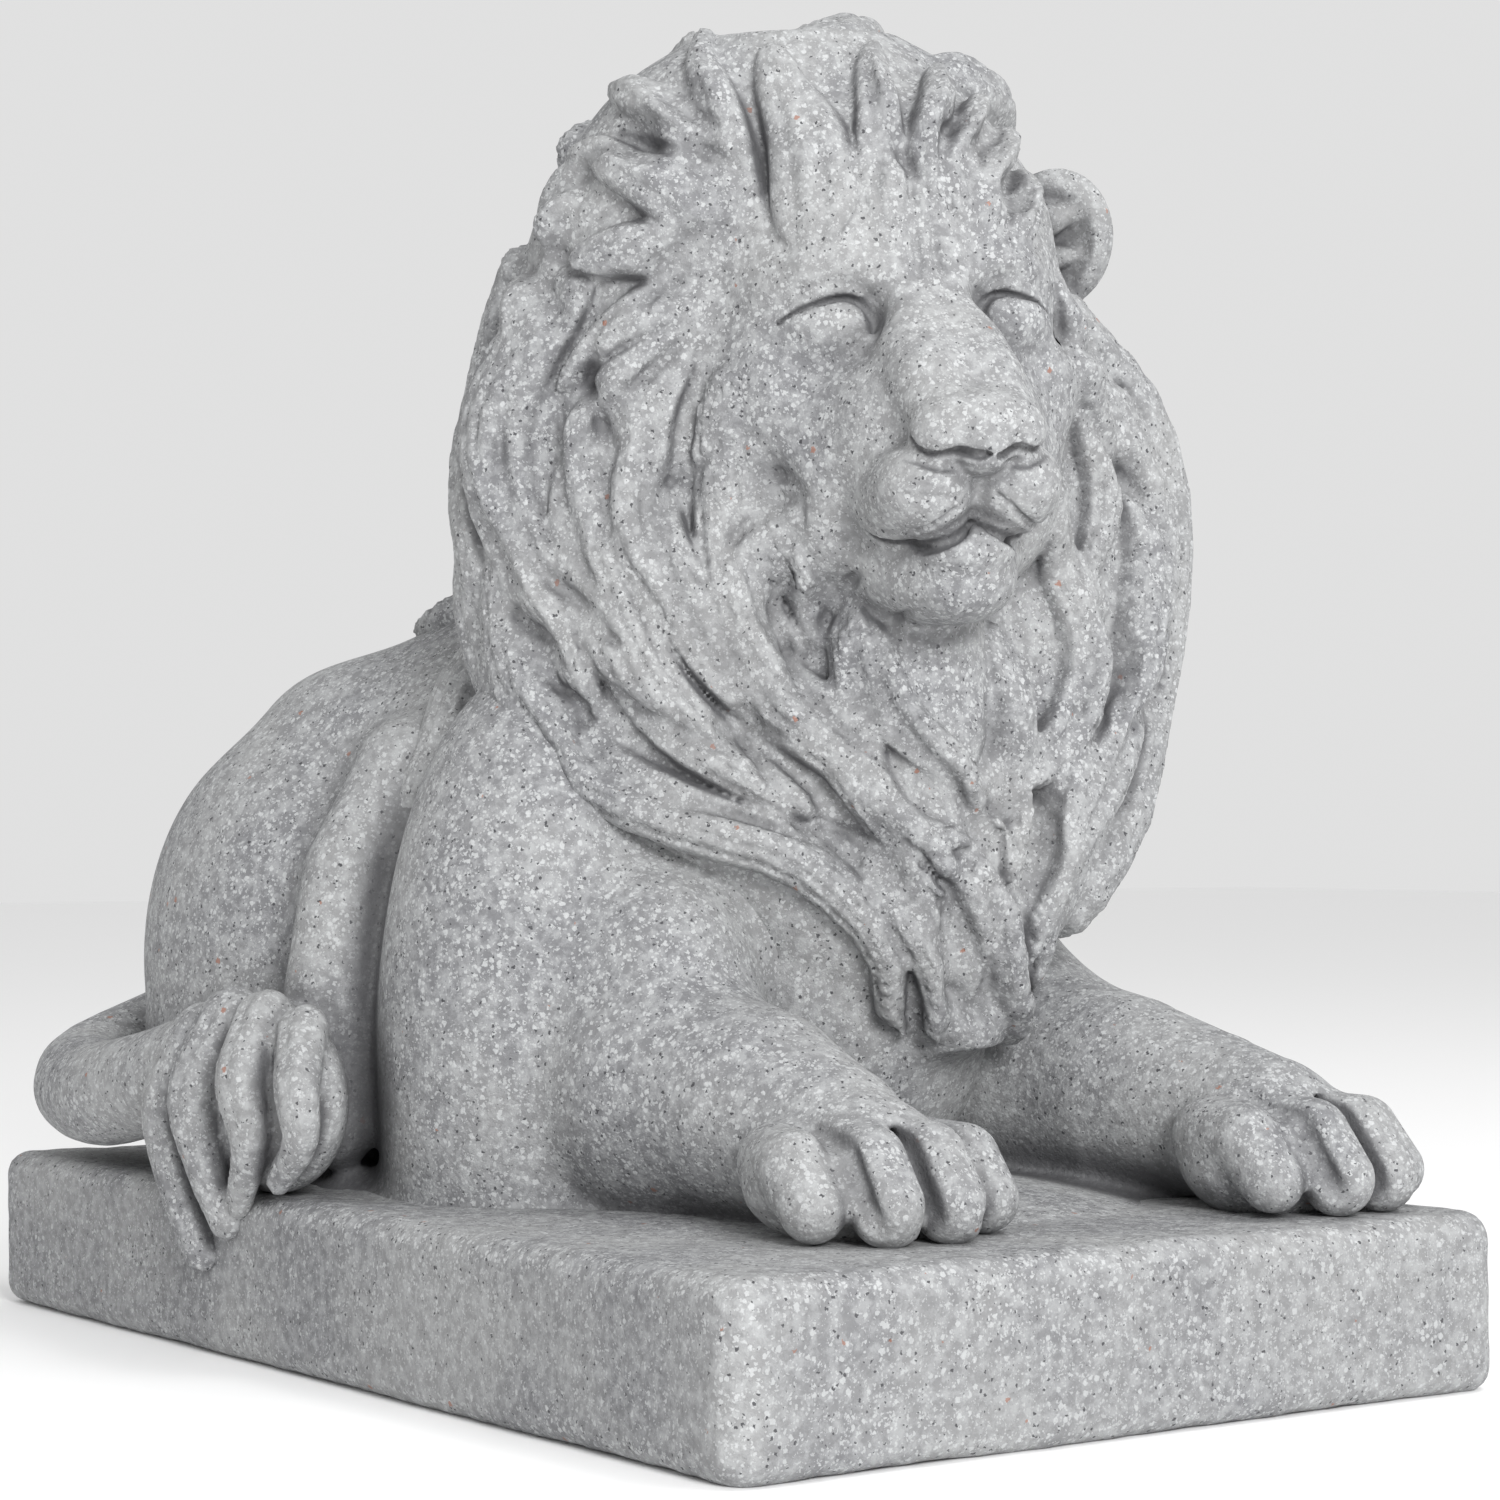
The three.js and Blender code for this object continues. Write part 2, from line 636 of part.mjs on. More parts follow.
// The locks that show, each with its marks on the chart, half width and height.
const maneLocks = [
  {
    marks: [
      [-112, 1], [-123, 1.04], [-138, 0.98], [-152, 0.8],
      [-164, 0.68], [-174, 0.78], [-177, 1.02],
    ],
    width: 12,
    height: 12,
  },
  { marks: [[-118, 1.15], [-132, 1.18], [-141, 1.22], [-148, 1.14]], width: 11, height: 9 },
  { marks: [[-70, 0.8], [-90, 0.97], [-105, 0.96], [-124, 0.85], [-137, 0.86]], width: 14, height: 11 },
  {
    marks: [
      [-98, 0.67], [-124, 0.65], [-140, 0.63],
      [-154, 0.57], [-165, 0.55],
    ],
    width: 13,
    height: 11,
  },
  {
    marks: [
      [-84, 0.3], [-107, 0.42], [-131, 0.36],
      [-153, 0.33], [-172, 0.37], [-181, 0.6],
    ],
    width: 12,
    height: 12,
  },
  {
    marks: [
      [-90, 0.02], [-121, 0.09], [-145, 0.21],
      [-164, 0.25], [-178, 0.36], [-182, 0.6],
    ],
    width: 10,
    height: 10,
  },
  { marks: [[-112, -0.1], [-130, 0.02], [-144, 0.1], [-156, 0.1]], width: 9, height: 8 },
  { marks: [[-134, -0.1], [-150, -0.03], [-158, 0.07]], width: 8, height: 7 },
  { marks: [[-160, -0.1], [-170, 0.04], [-174, 0.24], [-183, 0.5]], width: 9, height: 8 },
  { marks: [[-172, -0.05], [-178, 0.12], [-184, 0.46]], width: 10, height: 8 },
  { marks: [[161, 0.05], [167, 0.32], [174, 0.48]], width: 9, height: 8 },
  { marks: [[126, -0.05], [142, 0.4], [154, 0.47], [171, 0.46], [176, 0.64]], width: 10, height: 10 },
  {
    marks: [
      [88, 0.5], [112, 0.7], [135, 0.72],
      [153, 0.71], [165, 0.74], [173, 0.9],
    ],
    width: 12,
    height: 11,
  },
  {
    marks: [
      [74, 0.85], [95, 0.95], [120, 0.98],
      [143, 0.95], [160, 0.95], [165, 1.1],
    ],
    width: 13,
    height: 11,
  },
  { marks: [[150, 0.6], [161, 0.63], [167, 0.78], [173, 0.96]], width: 9, height: 8 },
  { marks: [[68, 0.25], [90, 0.35], [114, 0.36], [136, 0.3]], width: 11, height: 9 },
  { marks: [[-174, 0.5], [-180, 0.75], [-181, 0.97]], width: 9, height: 8 },
  { marks: [[178, 0.55], [176, 0.85], [175, 1.1]], width: 8, height: 8 },
];

// The crown and the side next to the face: marks left, forward and up of the eyes.
const crownLocks = [
  { marks: [[-29, 2, 24], [-31, 4, 42], [-31, -3, 58], [-29, -24, 71]], width: 15, height: 8 },
  { marks: [[-46, -8, 22], [-47, -12, 42], [-45, -25, 58], [-42, -42, 68]], width: 11, height: 7 },
  { marks: [[-7, 6, 27], [-8, 9, 46], [-4, -8, 63], [-1, -26, 70]], width: 9, height: 8 },
  { marks: [[6, 7, 27], [8, 8, 46], [15, -9, 61], [20, -24, 67]], width: 8, height: 8 },
  { marks: [[16, 6, 24], [19, 9, 41], [27, -2, 56], [32, -12, 62]], width: 7, height: 8 },
  { marks: [[24, 4, 22], [30, 4, 37], [42, -8, 48], [50, -14, 52]], width: 7, height: 7 },
  { marks: [[32, 1, 16], [40, -3, 28], [52, -20, 38], [60, -30, 42]], width: 7, height: 7 },
  { marks: [[-50, -10, 18], [-61, -20, 34], [-72, -34, 44], [-78, -50, 46]], width: 12, height: 8 },
  { marks: [[-52, -15, 36], [-58, -21, 52], [-64, -36, 62], [-66, -50, 64]], width: 10, height: 7 },
  { marks: [[-56, -14, 13], [-70, -23, 19], [-82, -35, 16], [-91, -42, 4]], width: 10, height: 8 },
  { marks: [[-58, -20, 4], [-70, -22, 2], [-82, -28, -6], [-91, -38, -18]], width: 9, height: 8 },
  {
    marks: [
      [-56, -23, -2], [-67, -25, -12], [-79, -30, -20],
      [-91, -32, -36], [-97, -37, -56],
    ],
    width: 9,
    height: 8,
  },
  { marks: [[-80, -46, 44], [-90, -50, 30], [-94, -45, 12]], width: 9, height: 7 },
  { marks: [[-90, -55, 18], [-101, -52, 4], [-107, -46, -12]], width: 9, height: 8 },
  { marks: [[-100, -52, -6], [-111, -50, -24], [-114, -54, -42]], width: 9, height: 8 },
  { marks: [[-82, -22, -22], [-87, -24, -44], [-87, -21, -66], [-78, -16, -90]], width: 8, height: 7 },
  { marks: [[-58, -12, -16], [-61, -18, -34], [-66, -16, -54], [-62, -10, -76]], width: 8, height: 7 },
  { marks: [[44, -6, 6], [56, -12, 2], [68, -24, -12], [82, -34, -34]], width: 8, height: 7 },
  { marks: [[-12, -42, 72], [3, -54, 70], [13, -70, 60], [20, -86, 44]], width: 14, height: 8 },
  { marks: [[24, -30, 66], [36, -44, 60], [46, -62, 48], [52, -78, 32]], width: 12, height: 8 },
];

// Rows of loose locks over the nape and the sides, each over the one behind it.
const maneRows = [
  { reach: 2.3, count: 9, arc: 120, length: 80 },
  { reach: 1.75, count: 11, arc: 140, length: 85 },
  { reach: 1.25, count: 13, arc: 145, length: 80 },
];

function addMane(clay) {
  const mass = clay.copy();
  for (const { reach, count, arc, length } of maneRows) {
    for (let i = 0; i < count; i += 1) {
      const angle = -arc + (2 * arc * (i + 0.5)) / count;
      const phase = (angle > 0 ? 2.4 : -0.7) + 0.5 * Math.sin(i * 2.4 + reach);
      clay.add(looseLock(mass, chart(angle, reach), length, 12, 9, phase), 1.6);
    }
  }
  for (const { marks, width, height } of maneLocks) {
    clay.add(chartLock(mass, marks, width, height), 1.6);
  }
  for (const { marks, width, height } of crownLocks) {
    const line = new THREE.CatmullRomCurve3(marks.map((mark) => onHead(...mark)));
    const path = line.getPoints(marks.length * 4).map((place) => mass.onto(place, 0));
    clay.add(lockAlong(mass, path, width, height), 1.6);
  }
}

// The lattice reaches past the figure on every side, and past the plinth where the tail hangs.
const figure = {
  low: spot(-30, -215, -30).setX(edgeX - 25 * unit),
  high: spot(150, 215, 350),
};

// Only the part of the figure that shows, and its seat in the plinth, is kept. The tail and
// its tuft alone may hang down, beside the plinth's right edge.
function trimSeat(clay) {
  const past = lion.height; // the cut runs right through the lattice
  const low = figure.low.clone().subScalar(past).setX(edgeX + plinth.corner);
  const high = figure.high.clone().addScalar(past).setZ(plinth.height - lion.sunk);
  clay.cut(block(low, high), 0.5);
  clay.close();
}

// The skin of the clay as points and triangles: each lattice cell is split into the six
// tetrahedra round its long diagonal, and the skin crosses each of them in flat pieces.
function skinOf(clay) {
  const { low, grain, count, rows, field } = clay;
  const strides = [rows, count.z, 1];
  const places = [];
  const made = new Map();
  const faces = [];
  const orders = [[0, 1, 2, 1], [1, 2, 0, 1], [2, 0, 1, 1], [0, 2, 1, -1], [1, 0, 2, -1], [2, 1, 0, -1]];

  const placeOf = (at) => [Math.floor(at / rows), Math.floor((at % rows) / count.z), at % count.z];
  const crossing = (a, b) => {
    const [first, second] = a < b ? [a, b] : [b, a];
    const key = first * field.length + second;
    if (made.has(key)) return made.get(key);
    const t = field[first] / (field[first] - field[second]);
    const p = placeOf(first);
    const q = placeOf(second);
    const at = p.map((value, k) => (value + (q[k] - value) * t) * grain);
    places.push(new THREE.Vector3(...at).add(low));
    made.set(key, places.length - 1);
    return places.length - 1;
  };

  const split = (corners, sign) => {
    const inside = corners.filter((at) => field[at] < 0);
    if (inside.length === 0 || inside.length === 4) return;
    const outside = corners.filter((at) => field[at] >= 0);
    const order = [...inside, ...outside].map((at) => corners.indexOf(at));
    let turn = sign;
    order.forEach((a, i) => order.slice(i + 1).forEach((b) => (turn *= a > b ? -1 : 1)));
    let ring;
    if (inside.length === 1) ring = outside.map((at) => crossing(inside[0], at));
    if (inside.length === 3) ring = inside.map((at) => crossing(at, outside[0])).reverse();
    if (inside.length === 3) turn *= -1;
    if (inside.length === 2) {
      const [a, b] = inside;
      const [c, d] = outside;
      ring = [crossing(a, c), crossing(a, d), crossing(b, d), crossing(b, c)];
    }
    if (turn < 0) ring.reverse();
    for (let i = 2; i < ring.length; i += 1) faces.push([ring[0], ring[i - 1], ring[i]]);
  };

  for (let i = 0; i < count.x - 1; i += 1) {
    for (let j = 0; j < count.y - 1; j += 1) {
      for (let k = 0; k < count.z - 1; k += 1) {
        const at = i * rows + j * count.z + k;
        for (const [a, b, c, sign] of orders) {
          const second = at + strides[a];
          const third = second + strides[b];
          split([at, second, third, third + strides[c]], sign);
        }
      }
    }
  }
  return { places, faces };
}

// The largest closed surface; specks and sealed pockets are left out.
function largest({ places, faces }) {
  const parent = places.map((p, i) => i);
  const rootOf = (i) => {
    let at = i;
    while (parent[at] !== at) {
      parent[at] = parent[parent[at]];
      at = parent[at];
    }
    return at;
  };
  faces.forEach(([a, b, c]) => {
    parent[rootOf(a)] = rootOf(b);
    parent[rootOf(b)] = rootOf(c);
  });
  const tally = new Map();
  faces.forEach(([a]) => tally.set(rootOf(a), (tally.get(rootOf(a)) ?? 0) + 1));
  const main = [...tally].sort((a, b) => b[1] - a[1])[0][0];
  return { places, faces: faces.filter(([a]) => rootOf(a) === main) };
}

// A queue whose cheapest entry comes out first.
class Queue {
  constructor() {
    this.items = [];
  }

  push(item) {
    const { items } = this;
    let at = items.length;
    items.push(item);
    while (at > 0) {
      const above = (at - 1) >> 1;
      if (items[above].cost <= item.cost) break;
      items[at] = items[above];
      at = above;
    }
    items[at] = item;
  }

  pop() {
    const { items } = this;
    const top = items[0];
    const item = items.pop();
    let at = 0;
    while (items.length) {
      let below = at * 2 + 1;
      if (below >= items.length) break;
      if (below + 1 < items.length && items[below + 1].cost < items[below].cost) below += 1;
      if (items[below].cost >= item.cost) break;
      items[at] = items[below];
      at = below;
    }
    if (items.length) items[at] = item;
    return top;
  }
}

// The sum of squared distances from a place to planes, kept as ten numbers.
function planeError(normal, offset, weight) {
  const { x, y, z } = normal;
  const w = offset;
  return [x * x, x * y, x * z, x * w, y * y, y * z, y * w, z * z, z * w, w * w].map((v) => v * weight);
}

function errorAt(q, { x, y, z }) {
  const squares = q[0] * x * x + q[4] * y * y + q[7] * z * z;
  const mixed = q[1] * x * y + q[2] * x * z + q[5] * y * z;
  return squares + 2 * mixed + 2 * (q[3] * x + q[6] * y + q[8] * z) + q[9];
}

function bestPlace(q, ends) {
  const planes = new THREE.Matrix3().set(q[0], q[1], q[2], q[1], q[4], q[5], q[2], q[5], q[7]);
  const middle = ends[0].clone().lerp(ends[1], 0.5);
  const choices = [...ends, middle];
  const size = q[0] + q[4] + q[7];
  if (Math.abs(planes.determinant()) > 1e-4 * size ** 3) {
    const solved = new THREE.Vector3(-q[3], -q[6], -q[8]).applyMatrix3(planes.invert());
    if (solved.distanceTo(middle) < 2 * ends[0].distanceTo(ends[1])) choices.push(solved);
  }
  const costs = choices.map((place) => errorAt(q, place));
  const least = costs.indexOf(Math.min(...costs));
  return { place: choices[least], cost: costs[least] };
}

// Closes the shortest steps of the surface, one by one, until few enough facets are left.
function faceted({ places, faces }, most) {
  const around = places.map(() => new Set());
  const errors = places.map(() => new Array(10).fill(0));
  const stamps = places.map(() => 0);
  const triangle = new THREE.Triangle();
  const normalOf = (a, b, c) => triangle.set(a, b, c).getNormal(new THREE.Vector3());
  faces.forEach((face, i) => {
    const corners = face.map((at) => places[at]);
    const normal = normalOf(...corners);
    const weight = triangle.set(...corners).getArea();
    const error = planeError(normal, -normal.dot(corners[0]), weight);
    face.forEach((at) => {
      around[at].add(i);
      error.forEach((value, k) => (errors[at][k] += value));
    });
  });
  const besides = (at) => {
    const found = new Set();
    around[at].forEach((i) => faces[i].forEach((other) => found.add(other)));
    found.delete(at);
    return found;
  };
  const queue = new Queue();
  const offer = (a, b) => {
    const error = errors[a].map((value, k) => value + errors[b][k]);
    const ends = [places[a], places[b]];
    const { place, cost } = bestPlace(error, ends);
    const short = 0.002 * ends[0].distanceToSquared(ends[1]);
    queue.push({ cost: cost + short, place, error, a, b, stamp: stamps[a] + stamps[b] });
  };
  places.forEach((p, at) => besides(at).forEach((other) => at < other && offer(at, other)));

  const turnsOver = (at, other, place) => {
    for (const i of around[at]) {
      if (faces[i].includes(other)) continue;
      const before = faces[i].map((corner) => places[corner]);
      const after = faces[i].map((corner) => (corner === at ? place : places[corner]));
      if (normalOf(...before).dot(normalOf(...after)) < 0.3) return true;
    }
    return false;
  };
  let left = faces.length;
  while (left > most && queue.items.length) {
    const { a, b, place, error, stamp } = queue.pop();
    if (!around[a].size || !around[b].size || stamp !== stamps[a] + stamps[b]) continue;
    const near = besides(b);
    const shared = [...besides(a)].filter((at) => near.has(at));
    if (shared.length !== 2) continue;
    if (shared.some((at) => around[at].size < 4)) continue;
    if (turnsOver(a, b, place) || turnsOver(b, a, place)) continue;
    places[a] = place;
    errors[a] = error;
    for (const i of [...around[b]]) {
      if (faces[i].includes(a)) {
        faces[i].forEach((at) => around[at].delete(i));
        faces[i] = null;
        left -= 1;
      } else {
        faces[i] = faces[i].map((at) => (at === b ? a : at));
        around[a].add(i);
      }
    }
    around[b].clear();
    const beside = besides(a);
    stamps[a] += 1;
    beside.forEach((at) => offer(a, at));
  }
  return { places, faces: faces.filter((face) => face) };
}

function geometryOf(positions, index) {
  const geometry = new THREE.BufferGeometry();
  geometry.setAttribute("position", new THREE.BufferAttribute(new Float32Array(positions), 3));
  geometry.setIndex(index);
  return geometry;
}

function plinthGeometry() {
  const { width, length, height, edge, corner } = plinth;
  const [x, y] = [width / 2 - corner, length / 2 - corner];
  const outline = new THREE.Shape();
  outline.absarc(x, y, corner, 0, Math.PI / 2);
  outline.absarc(-x, y, corner, Math.PI / 2, Math.PI);
  outline.absarc(-x, -y, corner, Math.PI, Math.PI * 1.5);
  outline.absarc(x, -y, corner, Math.PI * 1.5, Math.PI * 2);
  outline.closePath();
  const geometry = new THREE.ExtrudeGeometry(outline, {
    depth: height - 2 * edge,
    bevelThickness: edge,
    bevelSize: edge,
    bevelOffset: -edge,
    bevelSegments: 4,
    curveSegments: 6,
  });
  geometry.deleteAttribute("normal");
  geometry.deleteAttribute("uv");
  return mergeVertices(geometry.translate(0, 0, edge), 1e-4);
}

const wasm = await Module();
wasm.setup();

function solidOf(geometry) {
  return new wasm.Manifold(
    new wasm.Mesh({
      numProp: 3,
      vertProperties: geometry.attributes.position.array,
      triVerts: new Uint32Array(geometry.index.array),
    }),
  );
}

function figureSolid() {
  const clay = new Clay(figure.low, figure.high, facets.grain * unit);
  addTrunk(clay);
  addHaunches(clay);
  addForelegs(clay);
  addTail(clay);
  addManeMass(clay);
  addSkull(clay);
  addMuzzle(clay);
  carveCheeks(clay);
  addEyes(clay);
  addMane(clay);
  addEars(clay);
  trimSeat(clay);
  const { places, faces } = faceted(largest(skinOf(clay)), facets.most);
  return solidOf(geometryOf(places.flatMap((p) => p.toArray()), faces.flat()));
}

const statue = figureSolid().add(solidOf(plinthGeometry())).getMesh();
const stone = new THREE.MeshStandardMaterial({ color: 0x9b9da0, roughness: 0.85, metalness: 0 });
const body = new THREE.Mesh(geometryOf(statue.vertProperties, [...statue.triVerts]), stone);
body.name = "lion_statue";

const group = new THREE.Group();
group.add(body);

export default group;
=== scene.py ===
import json
import math

import bpy
import numpy as np
from mathutils import Matrix, Vector


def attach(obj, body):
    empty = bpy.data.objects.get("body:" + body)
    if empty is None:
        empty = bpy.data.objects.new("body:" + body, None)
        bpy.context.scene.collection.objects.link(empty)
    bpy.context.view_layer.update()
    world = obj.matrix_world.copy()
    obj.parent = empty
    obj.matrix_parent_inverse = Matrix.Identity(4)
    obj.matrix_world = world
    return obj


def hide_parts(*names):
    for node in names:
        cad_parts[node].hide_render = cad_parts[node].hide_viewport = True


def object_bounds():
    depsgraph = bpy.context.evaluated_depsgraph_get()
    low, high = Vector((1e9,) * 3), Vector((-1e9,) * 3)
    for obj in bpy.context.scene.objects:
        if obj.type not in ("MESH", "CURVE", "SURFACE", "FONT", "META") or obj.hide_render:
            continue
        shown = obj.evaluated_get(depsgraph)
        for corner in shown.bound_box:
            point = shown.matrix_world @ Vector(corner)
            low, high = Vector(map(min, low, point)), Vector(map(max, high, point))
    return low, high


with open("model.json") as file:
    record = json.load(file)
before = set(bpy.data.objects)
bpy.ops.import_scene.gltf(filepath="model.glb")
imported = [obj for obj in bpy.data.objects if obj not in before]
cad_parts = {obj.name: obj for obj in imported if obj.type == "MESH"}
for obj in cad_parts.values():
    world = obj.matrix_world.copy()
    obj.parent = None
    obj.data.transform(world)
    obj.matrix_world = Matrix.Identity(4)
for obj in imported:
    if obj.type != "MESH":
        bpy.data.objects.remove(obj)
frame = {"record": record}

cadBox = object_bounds()

statue = {  # in the millimetres of the drawn lion, on top of the plinth
    "height": 338.1,
    "eyes": (4, -102, 248),  # between the eyes
    "turn": 18.75,  # of the head, to its right, in degrees
    "tilt": 4.1,
    "nod": -3.8,
    "faceShift": 2.5,  # of the face to its left on the skull
}

# The clay is worked in millimetres. The plinth's sizes come from the frame's own mounts.
mounts = {mount["name"]: mount["pos_m"] for mount in frame["record"]["mounts"]}
plinthHeight = 2000 * mounts["plinth_front"][2]
plinthLength = -2000 * mounts["plinth_front"][1]
plinthWidth = 2000 * mounts["plinth_left"][0]
unit = (1000 * cadBox[1][2] - plinthHeight) / statue["height"]  # one drawn millimetre
farAway = 30 * unit  # the distance given to places far outside the skin


def unitVector(v):
    v = np.asarray(v, float)
    return v / max(np.linalg.norm(v), 1e-9)


def spot(x, y, z):  # over the plinth's top
    return np.array([x, y, z], float) * unit + [0, 0, plinthHeight]


def edgeSpot(x, y, z):  # beside the plinth's right edge, where the tail hangs
    place = spot(0, y, z)
    place[0] = x * unit - plinthWidth / 2
    return place


def spun(v, axis, degrees):
    c, s = math.cos(math.radians(degrees)), math.sin(math.radians(degrees))
    return v * c + np.cross(axis, v) * s + axis * (axis @ v) * (1 - c)


def headAxes():  # its left, forward and up
    turn = math.radians(statue["turn"])
    left = np.array([math.cos(turn), -math.sin(turn), 0])
    forward = np.array([-math.sin(turn), -math.cos(turn), 0])
    forward, up = (spun(v, left, -statue["nod"]) for v in (forward, np.array([0, 0, 1.0])))
    left, up = (spun(v, forward, statue["tilt"]) for v in (left, up))
    return np.array([left, forward, up])


def onHead(left, forward, up):
    return spot(*statue["eyes"]) + np.array([left, forward, up], float) @ headAxes() * unit


def onFace(left, forward, up):
    return onHead(left + statue["faceShift"], forward, up)


def turnedAxes(turn, nod=0, tilt=0):
    left, forward, up = headAxes()
    left, forward = spun(left, up, turn), spun(forward, up, turn)
    forward, up = spun(forward, left, nod), spun(up, left, nod)
    return np.array([spun(left, forward, tilt), forward, spun(up, forward, tilt)])


def faceSide(side):  # places on one side of the face, by the marks of its left side
    return lambda left, forward, up: onFace(side * left, forward, up)


def softMin(a, b, seam):
    share = np.maximum(seam - np.abs(a - b), 0) / seam
    return np.minimum(a, b) - share * share * (seam * 0.25)


def curve(marks, count):  # places on a smooth line through the marks
    p = np.array(marks, float)
    p = np.vstack([2 * p[0] - p[1], p, 2 * p[-1] - p[-2]])
    u = np.linspace(0, len(p) - 3 - 1e-9, count)
    i = u.astype(int)
    t = (u - i)[:, None]
    a, b, c, d = p[i], p[i + 1], p[i + 2], p[i + 3]
    square, cube = 2 * a - 5 * b + 4 * c - d, 3 * b - a - 3 * c + d
    return 0.5 * (2 * b + (c - a) * t + square * t**2 + cube * t**3)


class Clay:  # a lattice of distances to the skin, less than 0 inside
    def __init__(self, low, high, cell):
        self.cell = cell
        self.low = np.array(low, float)
        count = np.ceil((np.array(high) - self.low) / cell).astype(int) + 1
        self.field = np.full(tuple(count), farAway, np.float32)

    def copy(self):
        other = Clay.__new__(Clay)
        other.cell, other.low, other.field = self.cell, self.low, self.field.copy()
        return other

    def window(self, low, high):
        first = np.floor((low - self.low) / self.cell).astype(int).clip(0, None)
        last = np.minimum(np.ceil((high - self.low) / self.cell).astype(int) + 1, self.field.shape)
        if (last <= first).any():
            return None
        part = tuple(slice(a, b) for a, b in zip(first, last))
        axes = [self.low[k] + self.cell * np.arange(first[k], last[k]) for k in range(3)]
        x, y, z = (a.astype(np.float32) for a in axes)
        return part, (x[:, None, None], y[None, :, None], z[None, None, :])

    def merge(self, shape, seam, cutting):
        seam *= unit
        pad = seam + 2 * self.cell
        low = np.min([piece[1] for piece in shape], 0)
        high = np.max([piece[2] for piece in shape], 0)
        whole = self.window(low - pad, high + pad)
        if whole is None:
            return
        part = whole[0]
        old = self.field[part]
        new = np.full(old.shape, farAway, np.float32)
        for near, low, high in shape:
            found = self.window(low - pad, high + pad)
            if found is None:
                continue
            inner = tuple(slice(a.start - b.start, a.stop - b.start) for a, b in zip(found[0], part))
            new[inner] = np.minimum(new[inner], near(*found[1]))
        self.field[part] = -softMin(-old, new, seam) if cutting else softMin(old, new, seam)

    def add(self, shape, seam):
        self.merge(shape, seam, False)

    def cut(self, shape, seam):
        self.merge(shape, seam, True)

    def valueAt(self, places):
        q = (np.atleast_2d(places) - self.low) / self.cell
        i = np.clip(np.floor(q).astype(int), 0, np.array(self.field.shape) - 2)
        t = np.clip(q - i, 0, 1)
        total = 0
        for corner in range(8):
            d = np.array([corner >> 2 & 1, corner >> 1 & 1, corner & 1])
            share = np.prod(np.where(d, t, 1 - t), axis=1)
            total = total + share * self.field[tuple((i + d).T)]
        return total

    def slopeAt(self, places, step=4.0):
        p = np.atleast_2d(places)
        step *= unit
        way = [self.valueAt(p + step * e) - self.valueAt(p - step * e) for e in np.eye(3)]
        way = np.stack(way, 1)
        return way / np.maximum(np.linalg.norm(way, axis=1, keepdims=True), 1e-9)

    def onto(self, places, lift=1.0):  # moves places to the skin
        p = np.atleast_2d(np.array(places, float))
        for _ in range(4):
            p = p - self.slopeAt(p) * (self.valueAt(p) - lift * unit)[:, None]
        return p


def ellipsoid(centre, radii, axes=None):
    m = np.eye(3) if axes is None else np.array(axes)
    r = np.array(radii, float) * unit
    reach = np.sqrt(((m * r[:, None]) ** 2).sum(0))

    def near(x, y, z):
        far = steep = 0.0
        for row, radius in zip(m, r):
            q = ((x - centre[0]) * row[0] + (y - centre[1]) * row[1] + (z - centre[2]) * row[2]) / radius
            far = far + q * q
            steep = steep + (q / radius) ** 2
        far = np.sqrt(far)
        return far * (far - 1) / np.maximum(np.sqrt(steep), 1e-6)

    return [(near, centre - reach, centre + reach)]


def faceLump(side, middle, radii, turn=0, nod=0):
    return ellipsoid(faceSide(side)(*middle), radii, turnedAxes(side * turn, nod))


def barOffset(p, q, x, y, z):  # how far along the bar from p to q, and the step away from it
    e = q - p
    dx, dy, dz = x - p[0], y - p[1], z - p[2]
    t = np.clip((dx * e[0] + dy * e[1] + dz * e[2]) / (e @ e), 0, 1)
    return t, dx - t * e[0], dy - t * e[1], dz - t * e[2]


def limb(points, radii):  # a chain of tapered round bars
    p = np.array(points, float)
    r = np.array(radii, float) * unit

    def bar(i):
        def near(x, y, z):
            t, dx, dy, dz = barOffset(p[i], p[i + 1], x, y, z)
            return np.sqrt(dx * dx + dy * dy + dz * dz) - (r[i] + (r[i + 1] - r[i]) * t)

        ends, reach = p[i : i + 2], r[i : i + 2, None]
        return near, (ends - reach).min(0), (ends + reach).max(0)

    return [bar(i) for i in range(len(p) - 1)]


def barsAt(place, marks):  # each mark is a place and the radius there
    return limb([place(*mark[:3]) for mark in marks], [mark[3] for mark in marks])


def carveLine(clay, place, marks, width, depth, seam):  # a line cut to one depth in the skin
    path = curve([place(*mark) for mark in marks], 5 * len(marks) - 4)
    taper = np.sin(np.linspace(0.08, 0.92, len(path)) * math.pi) ** 0.5
    path = clay.onto(path, width / 2 - depth)
    clay.cut(limb(path, width / 2 * taper), seam)


